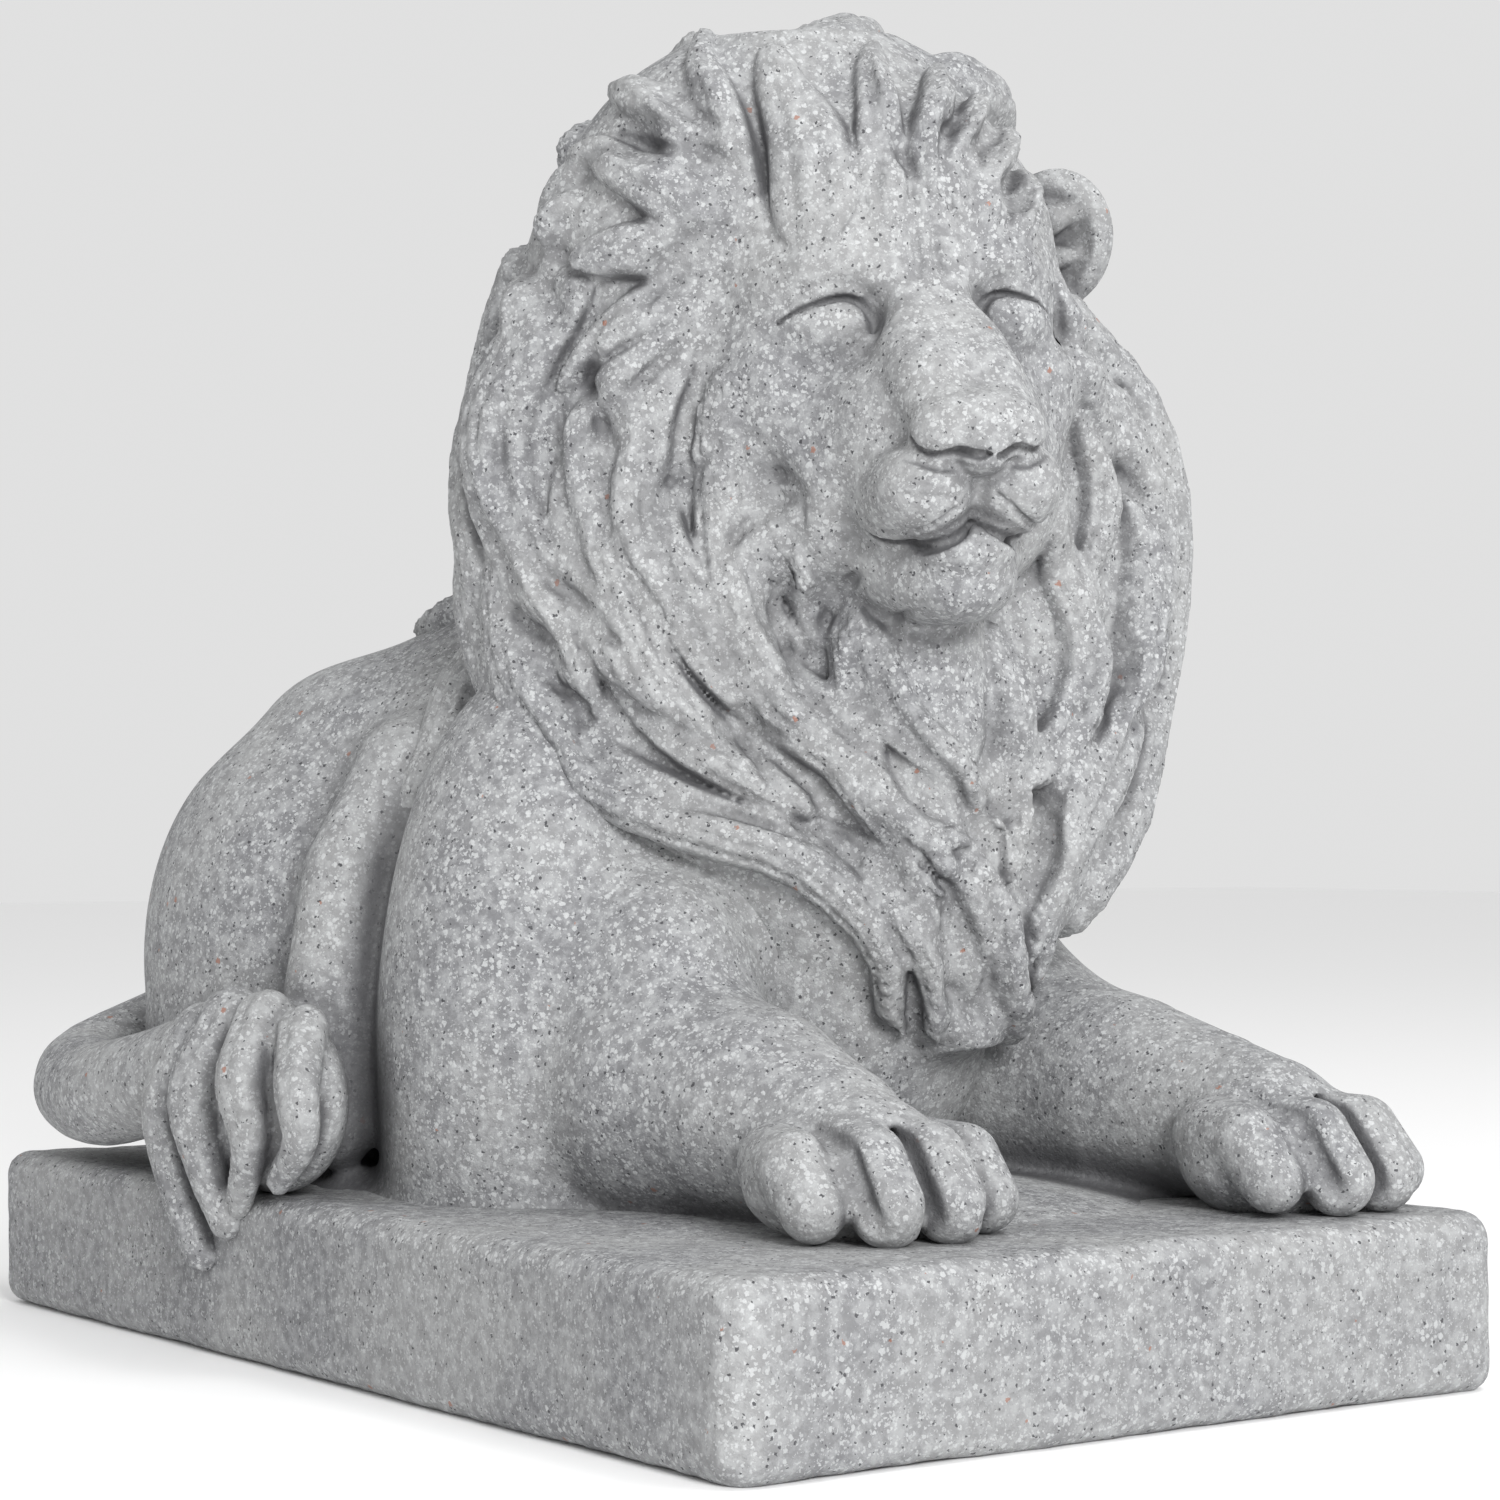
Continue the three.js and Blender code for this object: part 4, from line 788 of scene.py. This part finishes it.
maneValleys = [  # grooves between the locks, each mark left, forward and up of the eyes
    [(-68, -15, -56), (-69, -12, -70), (-64, -10, -85), (-58, -7, -96), (-53, -5, -106),
     (-49, -8, -117), (-43, 0, -133), (-31, 2, -147)],
    [(-38, 3, -60), (-43, 2, -68), (-41, -2, -79), (-35, -8, -93), (-34, -1, -104), (-28, 3, -114),
     (-17, 8, -124)],
    [(-25, 10, -75), (-29, 0, -83), (-30, -9, -94)],
    [(-15, 22, -87), (-16, 9, -96), (-17, 10, -106), (-12, 14, -118), (-1, 15, -131), (9, 9, -145)],
    [(52, -10, -90), (56, -10, -99), (51, -8, -110), (45, -4, -122), (27, 5, -133), (15, 12, -140),
     (10, 11, -149), (3, 12, -161)],
    [(17, 3, -110), (19, 3, -123), (13, 14, -134), (11, 9, -147)],
    [(-107, -40, -87), (-98, -35, -99), (-92, -30, -107), (-90, -25, -117), (-84, -17, -125),
     (-74, -10, -131), (-60, -4, -134), (-45, 1, -141), (-32, 2, -147)],
    [(-114, -48, -73), (-107, -42, -82), (-99, -36, -90), (-96, -32, -95)],
    [(-113, -45, -99), (-106, -36, -111), (-102, -33, -122), (-98, -36, -136), (-89, -33, -148),
     (-83, -28, -152)],
    [(-109, -57, -119), (-104, -48, -126), (-100, -38, -135)],
    [(-34, 0, -139), (-25, 1, -145), (-20, 10, -153), (-12, 12, -163), (-4, 12, -173), (1, 10, -181)],
    [(-22, 9, -139), (-18, 10, -147), (-15, 12, -156)],
    [(1, 10, -162), (1, 9, -175), (3, 8, -188), (9, 5, -197), (12, 6, -189), (11, 12, -176)],
    [(29, 4, -133), (35, -2, -144), (33, 0, -156), (28, 2, -167)],
    [(13, 15, -160), (15, 14, -173), (15, 8, -188)],
    [(-102, -40, -48), (-102, -37, -62), (-95, -31, -74), (-87, -21, -86), (-81, -17, -91)],
    [(-71, -15, -30), (-73, -15, -45), (-73, -15, -58), (-71, -13, -70)],
    [(-62, -11, -40), (-65, -18, -48), (-68, -15, -56)],
    [(-57, -22, -4), (-67, -13, -15), (-77, -18, -23)],
    [(-69, -24, 1), (-65, -19, 11), (-57, -15, 19), (-47, -5, 23)],
    [(-52, 0, -47), (-45, 0, -46), (-37, 6, -51)],
    [(-55, -7, -69), (-54, -2, -58), (-48, 1, -53), (-41, 4, -54), (-37, 3, -62)],
    [(-13, 11, 30), (-11, 11, 41), (-11, 7, 55), (-7, -10, 71)],
    [(2, 6, 32), (-1, 8, 44), (-2, 6, 58)],
    [(10, 10, 35), (14, 9, 46), (21, 2, 57)],
    [(18, 4, 29), (21, 8, 40), (34, -10, 50)],
    [(32, -2, 24), (36, 0, 33)],
    [(-67, -26, 41), (-75, -40, 44), (-89, -51, 32), (-86, -49, 21), (-79, -33, 14)],
    [(-92, -36, -3), (-94, -39, 7), (-90, -67, 20)],
    [(-90, -40, -21), (-96, -36, -38), (-97, -31, -54), (-92, -25, -68), (-84, -19, -80)],
    [(-105, -43, -20), (-108, -44, -37), (-107, -41, -54), (-104, -38, -65)],
    [(-115, -52, -48), (-112, -46, -63), (-105, -39, -76)],
    [(56, -13, -30), (71, -24, -42), (83, -28, -58), (93, -33, -73)],
    [(48, -8, 0), (54, -5, -10), (80, -41, -17)],
    [(86, -28, -92), (87, -34, -110), (75, -19, -120), (62, -9, -133), (47, 0, -149)],
    [(-81, -28, -3), (-82, -35, -16), (-83, -24, -30), (-87, -24, -47), (-86, -21, -61)],
    [(-55, -13, 17), (-60, -16, 12), (-61, -24, 5)],
    [(-62, -24, 54), (-53, -16, 45), (-44, -8, 38)],
    [(-69, -40, 51), (-58, -19, 45)],
    [(-64, -35, 65), (-54, -19, 56), (-46, -12, 47)],
    [(62, -14, -85), (67, -21, -102), (60, -13, -119)],
    [(-23, 5, -91), (-23, 6, -105), (-17, 9, -116)],
    [(-61, -10, -76), (-55, -7, -90), (-48, -2, -106), (-38, 0, -118)],
    [(-86, -26, -99), (-78, -17, -110), (-66, -8, -116), (-53, -4, -120)],
]

maneRows = [
    {"reach": 2.3, "count": 9, "arc": 120, "length": 80},
    {"reach": 1.75, "count": 11, "arc": 140, "length": 85},
    {"reach": 1.25, "count": 13, "arc": 145, "length": 80},
]
hair = {  # strands, groove, root, seam
    "loose": (5, 2.0, 1.0, 1.4),
    "mane": (5, 2.0, 0.35, 1.4),
    "crown": (3, 1.5, 0.2, 1.5),
    "looseWidth": 12,
    "looseHeight": 9,
    "crownWidth": 0.92,  # of the widths and heights above
    "crownHeight": 1.25,
    "maneSteps": 17,
}


def addMane(clay, mass):
    def addLock(kind, path, width, height):
        strands, groove, root, seam = hair[kind]
        clay.add(lockAlong(mass, path, width, height, strands, groove, root), seam)

    for row in maneRows:
        for i in range(row["count"]):
            angle = -row["arc"] + 2 * row["arc"] * (i + 0.5) / row["count"]
            phase = (2.4 if angle > 0 else -0.7) + 0.5 * math.sin(i * 2.4 + row["reach"])
            path = loosePath(mass, chart(angle, row["reach"]), row["length"], phase)
            addLock("loose", path, hair["looseWidth"], hair["looseHeight"])
    for marks, width, height in maneLocks:
        path = [chart(angle, reach) for angle, reach in curve(marks, hair["maneSteps"])]
        addLock("mane", mass.onto(path), width, height)
    for marks, width, height in crownLocks:
        path = mass.onto(curve([onHead(*mark) for mark in marks], 5 * len(marks)), 0)
        addLock("crown", path, hair["crownWidth"] * width, hair["crownHeight"] * height)


valleyCut = {  # radius, lift over the skin, seam: a soft hollow, then a line in it
    "hollow": (6.0, 1.8, 4),
    "line": (2.2, -2.4, 1.5),
}


def carveMane(clay):
    skin = clay.copy()
    for marks in maneValleys:
        path = curve([onHead(*mark) for mark in marks], 4 * len(marks) - 3)
        taper = np.sin(np.linspace(0.04, 0.96, len(path)) * math.pi) ** 0.6
        for radius, lift, seam in (valleyCut["hollow"], valleyCut["line"]):
            line = skin.onto(path, lift + radius * 0.2 + 3 * (1 - taper))
            clay.cut(limb(line, np.maximum(radius * taper, clay.cell)), seam)


# the box of each piece's clay: low and high corner on the plinth's top

boxes = {
    "head": ((-118, -190, -6), (142, 95, 350)),
    "face": ((-58, -180, 154), (56, -78, 286)),
    "body": ((-150, -215, -30), (140, 215, 200)),
}
headCell = 1.25
faceCell = 0.9
bodyCell = headCell + 0.15
massCell = 4  # of the plain mass that the locks are laid on
buried = 4  # how far the lion reaches into the plinth's top


def claySpace(name, cell):
    low, high = boxes[name]
    return Clay(spot(*low), spot(*high), cell)


def trimBelow(clay, height):
    z = clay.low[2] + clay.cell * np.arange(clay.field.shape[2])
    clay.field = np.maximum(clay.field, (height - z).astype(np.float32)[None, None, :])


def inFace(places, inset):  # whether places lie in the box of the face, in by inset
    low, high = (spot(*corner) for corner in boxes["face"])
    return ((places > low + inset) & (places < high - inset)).all(1)


def headClay(box, cell):
    clay = claySpace(box, cell)
    mass = claySpace("head", massCell)
    addTrunk(mass)
    addForelegs(mass)
    for lump in (clay, mass):
        addManeMass(lump)
        addSkull(lump)
        addMuzzle(lump)
    carveMouth(clay)
    carveCheeks(clay)
    addEyes(clay)
    addMane(clay, mass)
    addEars(clay)
    carveMane(clay)
    trimBelow(clay, plinthHeight - buried)
    return clay


def bodyClay():
    clay = claySpace("body", bodyCell)
    addTrunk(clay)
    addHaunches(clay)
    addForelegs(clay)
    addTail(clay)
    # only what shows over the plinth and beside its right edge
    x, z = (clay.low[k] + clay.cell * np.arange(clay.field.shape[k]) for k in (0, 2))
    besideEdge = 9 - plinthWidth / 2
    shown = np.maximum(z[None, :] - plinthHeight + buried, besideEdge - x[:, None])
    clay.field = np.maximum(clay.field, -shown.astype(np.float32)[:, None, :])
    return clay


def skinOf(clay):  # one point in each cell that the skin crosses, and quads between them
    field = clay.field
    inside = field < 0
    corners = [np.array([c >> 2 & 1, c >> 1 & 1, c & 1]) for c in range(8)]
    size = np.array(field.shape) - 1
    tally = np.zeros(size, np.uint8)
    for d in corners:
        tally += inside[tuple(slice(a, a + n) for a, n in zip(d, size))]
    crossed = (tally > 0) & (tally < 8)
    cells = np.argwhere(crossed)
    number = np.full(size, -1, np.int64)
    number[crossed] = np.arange(len(cells))
    values = [field[tuple((cells + d).T)].astype(float) for d in corners]
    total, count = np.zeros((len(cells), 3)), np.zeros(len(cells))
    for axis in range(3):
        for c, d in enumerate(corners):
            if d[axis]:
                continue
            a, b = values[c], values[c + (4 >> axis)]
            hit = (a < 0) != (b < 0)
            place = np.repeat(d[None].astype(float), len(cells), 0)
            place[:, axis] = np.where(hit, a / np.where(hit, a - b, 1), 0)
            total[hit] += place[hit]
            count[hit] += 1
    points = clay.low + (cells + total / count[:, None]) * clay.cell
    quads = []
    for axis in range(3):
        b, c = (axis + 1) % 3, (axis + 2) % 3
        first, second = [slice(None)] * 3, [slice(None)] * 3
        first[axis], second[axis] = slice(0, -1), slice(1, None)
        edges = np.argwhere(inside[tuple(first)] != inside[tuple(second)])
        keep = (edges[:, b] > 0) & (edges[:, c] > 0) & (edges[:, b] < size[b]) & (edges[:, c] < size[c])
        edges = edges[keep]
        ring = []
        for stepB, stepC in ((-1, -1), (0, -1), (0, 0), (-1, 0)):
            near = edges.copy()
            near[:, b] += stepB
            near[:, c] += stepC
            ring.append(number[tuple(near.T)])
        ring = np.stack(ring, 1)
        turn = ~inside[tuple(edges.T)]
        ring[turn] = ring[turn][:, ::-1]
        quads.append(ring)
    return points, np.vstack(quads)


mostTriangles = 190000
hollowReaches = (3, 7, 14)


# painted shade: the shares found here are kept as the hollow attribute, which darkens the stone's colour
# where the skin is shut in
def hollows(clay, points, normals):  # how shut in the skin is at each point, 0 to 1
    shut = 0
    for reach in hollowReaches:
        ahead = clay.valueAt(points + normals * reach * unit) / (reach * unit)
        shut = shut + np.clip(1 - ahead, 0, 1) / len(hollowReaches)
    return shut


def meshOf(name, clay, around, keep=None):
    points, quads = skinOf(clay)
    if keep:
        quads = quads[keep(points[quads].mean(1))]
        used, quads = np.unique(quads, return_inverse=True)
        points, quads = points[used], quads.reshape(-1, 4)
    mesh = bpy.data.meshes.new(name)
    mesh.from_pydata((points / 1000).tolist(), [], quads.tolist())
    piece = bpy.data.objects.new(name, mesh)
    bpy.context.scene.collection.objects.link(piece)
    if 2 * len(quads) > mostTriangles:
        fewer = piece.modifiers.new("fewer", "DECIMATE")
        fewer.ratio = mostTriangles / (2 * len(quads))
        bpy.context.view_layer.objects.active = piece
        bpy.ops.object.modifier_apply(modifier=fewer.name)
        mesh = piece.data
    mesh.polygons.foreach_set("use_smooth", [True] * len(mesh.polygons))
    points = np.empty(len(mesh.vertices) * 3)
    normals = np.empty(len(mesh.vertices) * 3)
    mesh.vertices.foreach_get("co", points)
    mesh.vertices.foreach_get("normal", normals)
    # painted shade: how shut in each point is, stored so the stone is painted darker there
    shut = hollows(around, points.reshape(-1, 3) * 1000, normals.reshape(-1, 3))
    layer = mesh.attributes.new("hollow", "FLOAT", "POINT")
    layer.data.foreach_set("value", shut.astype(np.float32))
    print("made", name, len(mesh.polygons), "faces")
    return piece


plinth = {
    "edge": 7,  # radii
    "corner": 10,
    "cell": 1.6,
    "margin": 6,
    "wear": 0.45,
    "ripples": [(61, 0.5), (37, 0.45), (19, 0.35), (9, 0.3), (5, 0.25)],  # length, height
}


def ripples(x, y, z):  # slow waves with finer ones on them, about 1 high
    total = 0
    for length, high in plinth["ripples"]:
        bend = np.sin((y + z * 0.7) / length * 2.3 + 1.3 * high)
        across = np.cos((z * 1.3 - y) / length * 2.1 + bend)
        total = total + high * np.sin(x / length * 2.9 + bend * 1.7) * across
    return total.astype(np.float32)


def plinthClay():
    x, y, z, margin = plinthWidth / 2, plinthLength / 2, plinthHeight, plinth["margin"]
    clay = Clay((-x - margin, -y - margin, -margin), (x + margin, y + margin, z + margin), plinth["cell"])
    px, py, pz = (clay.low[k] + clay.cell * np.arange(clay.field.shape[k]) for k in range(3))
    edge, corner = plinth["edge"], plinth["corner"]
    qx = np.abs(px)[:, None, None] - x + corner
    qy = np.abs(py)[None, :, None] - y + corner
    qz = np.abs(pz - z / 2)[None, None, :] - z / 2 + edge
    plan = np.sqrt(np.maximum(qx, 0) ** 2 + np.maximum(qy, 0) ** 2) + np.minimum(np.maximum(qx, qy), 0)
    plan = plan - corner + edge
    both = np.sqrt(np.maximum(plan, 0) ** 2 + np.maximum(qz, 0) ** 2)
    clay.field = (both + np.minimum(np.maximum(plan, qz), 0) - edge).astype(np.float32)
    clay.field += plinth["wear"] * ripples(px[:, None, None], py[None, :, None], pz[None, None, :])
    return clay


# the finish: light grey cast stone with pale and dark flecks, and painted shade in its crevices

stone = {
    "pale": (0.26, 0.262, 0.264, 1),
    "deep": (0.18, 0.182, 0.19, 1),
    "light": (0.5, 0.51, 0.515, 1),
    "dark": (0.035, 0.035, 0.04, 1),
    "rust": (0.30, 0.12, 0.07, 1),
    # painted shade: a near black laid over the stone where the skin is shut in, with how much of it and
    # over what range of the hollow attribute
    "paintedShade": (0.08, 0.08, 0.085, 1),
    "paintedShadeShare": 0.88,
    "paintedShadeRange": (0.15, 0.75),
    "roughness": 0.78,
    "wobble": (0.0016, 0.0016, 0.0016),  # how far the flecks' edges wander, in metres
    "wobbleScale": 1100.0,
    "cloudScale": 22.0,
    "cloudRange": (0.4, 0.62),
    "fineScale": 260.0,
    "fineRange": (0.42, 0.62),
    "fineShare": 0.45,
    "flecks": [  # scale, share of the cells, size, strength, colour
        (600.0, 0.42, 0.40, 0.75, "light"),
        (1150.0, 0.45, 0.45, 0.6, "light"),
        (900.0, 0.12, 0.36, 0.9, "dark"),
        (500.0, 0.004, 0.4, 0.7, "rust"),
    ],
    "gritScale": 1100.0,
    "pitScale": 420.0,
    "bump": {"grit": 0.6, "fine": 1.2, "pits": 0.3, "strength": 0.6, "distance": 0.0008},
}


class Nodes:  # short calls for building a material
    def __init__(self, material):
        material.use_nodes = True
        self.tree = material.node_tree
        self.shader = self.tree.nodes["Principled BSDF"]

    def add(self, kind, settings=None, **inputs):
        node = self.tree.nodes.new("ShaderNode" + kind)
        for key, value in (settings or {}).items():
            setattr(node, key, value)
        for key, value in inputs.items():
            numbered = key[0] == "i" and key[1:].isdigit()
            self.set(node.inputs[int(key[1:]) if numbered else key], value)
        return node

    def set(self, socket, value):
        if isinstance(value, bpy.types.NodeSocket):
            self.tree.links.new(value, socket)
        else:
            socket.default_value = value

    def math(self, operation, a, b):
        return self.add("Math", {"operation": operation}, i0=a, i1=b).outputs[0]

    def mix(self, share, a, b):
        node = self.add("Mix", {"data_type": "RGBA"})
        self.set(node.inputs[0], share)
        self.set(node.inputs[6], a)
        self.set(node.inputs[7], b)
        return node.outputs[2]

    def ramp(self, value, low, high):
        inputs = {"i0": value, "i1": low, "i2": high, "i3": 0.0, "i4": 1.0}
        return self.add("MapRange", {"clamp": True}, **inputs).outputs[0]


def flecks(nodes, place, scale, share, size):  # spots in some of the cells, each of its own size
    cells = nodes.add("TexVoronoi", {"feature": "F1"}, Vector=place, Scale=scale)
    split = nodes.add("SeparateColor", None, Color=cells.outputs["Color"])
    chosen = nodes.math("LESS_THAN", split.outputs[0], share)
    radius = nodes.math("MULTIPLY", nodes.math("ADD", split.outputs[1], 0.35), size)
    inside = nodes.ramp(nodes.math("SUBTRACT", radius, cells.outputs["Distance"]), 0.0, 0.05)
    return nodes.math("MULTIPLY", chosen, inside)


def castStone():
    material = bpy.data.materials.new("cast_stone")
    nodes = Nodes(material)

    def noise(scale, detail, **more):
        return nodes.add("TexNoise", None, Vector=place, Scale=scale, Detail=detail, **more)

    place = nodes.add("TexCoord").outputs["Object"]
    wobble = noise(stone["wobbleScale"], 2.0)
    bent = nodes.add("VectorMath", {"operation": "MULTIPLY_ADD"}, i0=wobble.outputs["Color"])
    bent.inputs[1].default_value = stone["wobble"]
    nodes.set(bent.inputs[2], place)
    place = bent.outputs[0]
    clouds = noise(stone["cloudScale"], 4.0).outputs[0]
    fine = noise(stone["fineScale"], 5.0, Roughness=0.65).outputs[0]
    grit = noise(stone["gritScale"], 3.0).outputs[0]
    pits = nodes.add("TexVoronoi", {"feature": "F1"}, Vector=place, Scale=stone["pitScale"])
    base = nodes.mix(nodes.ramp(clouds, *stone["cloudRange"]), stone["pale"], stone["deep"])
    fineShare = nodes.math("MULTIPLY", nodes.ramp(fine, *stone["fineRange"]), stone["fineShare"])
    base = nodes.mix(fineShare, base, stone["light"])
    for scale, share, size, strength, colour in stone["flecks"]:
        spots = flecks(nodes, place, scale, share, size)
        base = nodes.mix(nodes.math("MULTIPLY", spots, strength), base, stone[colour])
    # painted shade: the colour is darkened where the skin is shut in, standing in for the shade that
    # falls in crevices
    hollow = nodes.add("Attribute", {"attribute_name": "hollow"}).outputs["Fac"]
    shade = nodes.math("MULTIPLY", nodes.ramp(hollow, *stone["paintedShadeRange"]), stone["paintedShadeShare"])
    base = nodes.mix(shade, base, stone["paintedShade"])
    nodes.set(nodes.shader.inputs["Base Color"], base)
    nodes.shader.inputs["Roughness"].default_value = stone["roughness"]
    skin = stone["bump"]
    gritHeight = nodes.math("MULTIPLY", grit, skin["grit"])
    rough = nodes.math("ADD", gritHeight, nodes.math("MULTIPLY", fine, skin["fine"]))
    rough = nodes.math("ADD", rough, nodes.math("MULTIPLY", pits.outputs["Distance"], skin["pits"]))
    bump = nodes.add("Bump", None, Strength=skin["strength"], Distance=skin["distance"], Height=rough)
    nodes.set(nodes.shader.inputs["Normal"], bump.outputs[0])
    return material


stoneMaterial = castStone()
print("mixed the stone")

# the head leaves out the face, which is worked finer and laps it by 1 mm
headInset = 3.5
faceInset = 2.5
headWhole = headClay("head", headCell)
bodyWhole = bodyClay()
plinthWhole = plinthClay()
pieces = [
    meshOf("lion_head", headWhole, headWhole, lambda places: ~inFace(places, headInset)),
    meshOf("lion_face", headClay("face", faceCell), headWhole, lambda places: inFace(places, faceInset)),
    meshOf("lion_body", bodyWhole, bodyWhole),
    meshOf("plinth_block", plinthWhole, plinthWhole),
]
for piece in pieces:
    piece.data.materials.append(stoneMaterial)
    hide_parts("lion_statue")
    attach(piece, "root")

studio = {
    "floor": (0.96, 0.96, 0.96, 1),
    "floorRoughness": 0.9,
    "floorReach": 6.0,
    "sky": 0.75,
    "lights": [  # place, aim, size, power
        ((-0.55, -1.75, 0.85), (0, -0.05, 0.2), 0.6, 30),
        ((0.5, -0.7, 1.9), (0, -0.05, 0.2), 0.7, 9),
    ],
    "cameraPlace": (-0.593, -0.855, 0.151),
    "cameraYaw": 35.8,
    "cameraPitch": 1.33,
    "lens": 84,
    "sensor": 36,
}


def aimed(place, target):
    way = Vector(target) - Vector(place)
    return way.to_track_quat("-Z", "Y").to_euler()


def addStudio():
    floorMesh = bpy.data.meshes.new("floor")
    reach = studio["floorReach"]
    corners = [(-reach, -reach, 0), (reach, -reach, 0), (reach, reach, 0), (-reach, reach, 0)]
    floorMesh.from_pydata(corners, [], [(0, 1, 2, 3)])
    floor = bpy.data.objects.new("floor", floorMesh)
    bpy.context.scene.collection.objects.link(floor)
    paint = bpy.data.materials.new("floor_paint")
    paint.use_nodes = True
    shader = paint.node_tree.nodes["Principled BSDF"]
    shader.inputs["Base Color"].default_value = studio["floor"]
    shader.inputs["Roughness"].default_value = studio["floorRoughness"]
    floorMesh.materials.append(paint)
    world = bpy.data.worlds.new("studio")
    world.use_nodes = True
    sky = world.node_tree.nodes["Background"]
    sky.inputs["Color"].default_value = (1, 1, 1, 1)
    sky.inputs["Strength"].default_value = studio["sky"]
    bpy.context.scene.world = world
    for i, (place, target, size, power) in enumerate(studio["lights"]):
        light = bpy.data.lights.new("light", "AREA")
        light.size = size
        light.energy = power
        lamp = bpy.data.objects.new("light_%d" % i, light)
        lamp.location = place
        lamp.rotation_euler = aimed(place, target)
        bpy.context.scene.collection.objects.link(lamp)
    yaw, pitch = math.radians(studio["cameraYaw"]), math.radians(studio["cameraPitch"])
    ahead = Vector((math.sin(yaw) * math.cos(pitch), math.cos(yaw) * math.cos(pitch), math.sin(pitch)))
    right = Vector((math.cos(yaw), -math.sin(yaw), 0))
    up = right.cross(ahead)
    lens = bpy.data.cameras.new("camera")
    lens.lens = studio["lens"]
    lens.sensor_width = studio["sensor"]
    camera = bpy.data.objects.new("camera", lens)
    place = Matrix((right, up, -ahead)).transposed().to_4x4()
    place.translation = Vector(studio["cameraPlace"])
    camera.matrix_world = place
    bpy.context.scene.collection.objects.link(camera)
    bpy.context.scene.camera = camera
    bpy.context.scene.view_settings.view_transform = "Standard"


addStudio()
print("set the studio")
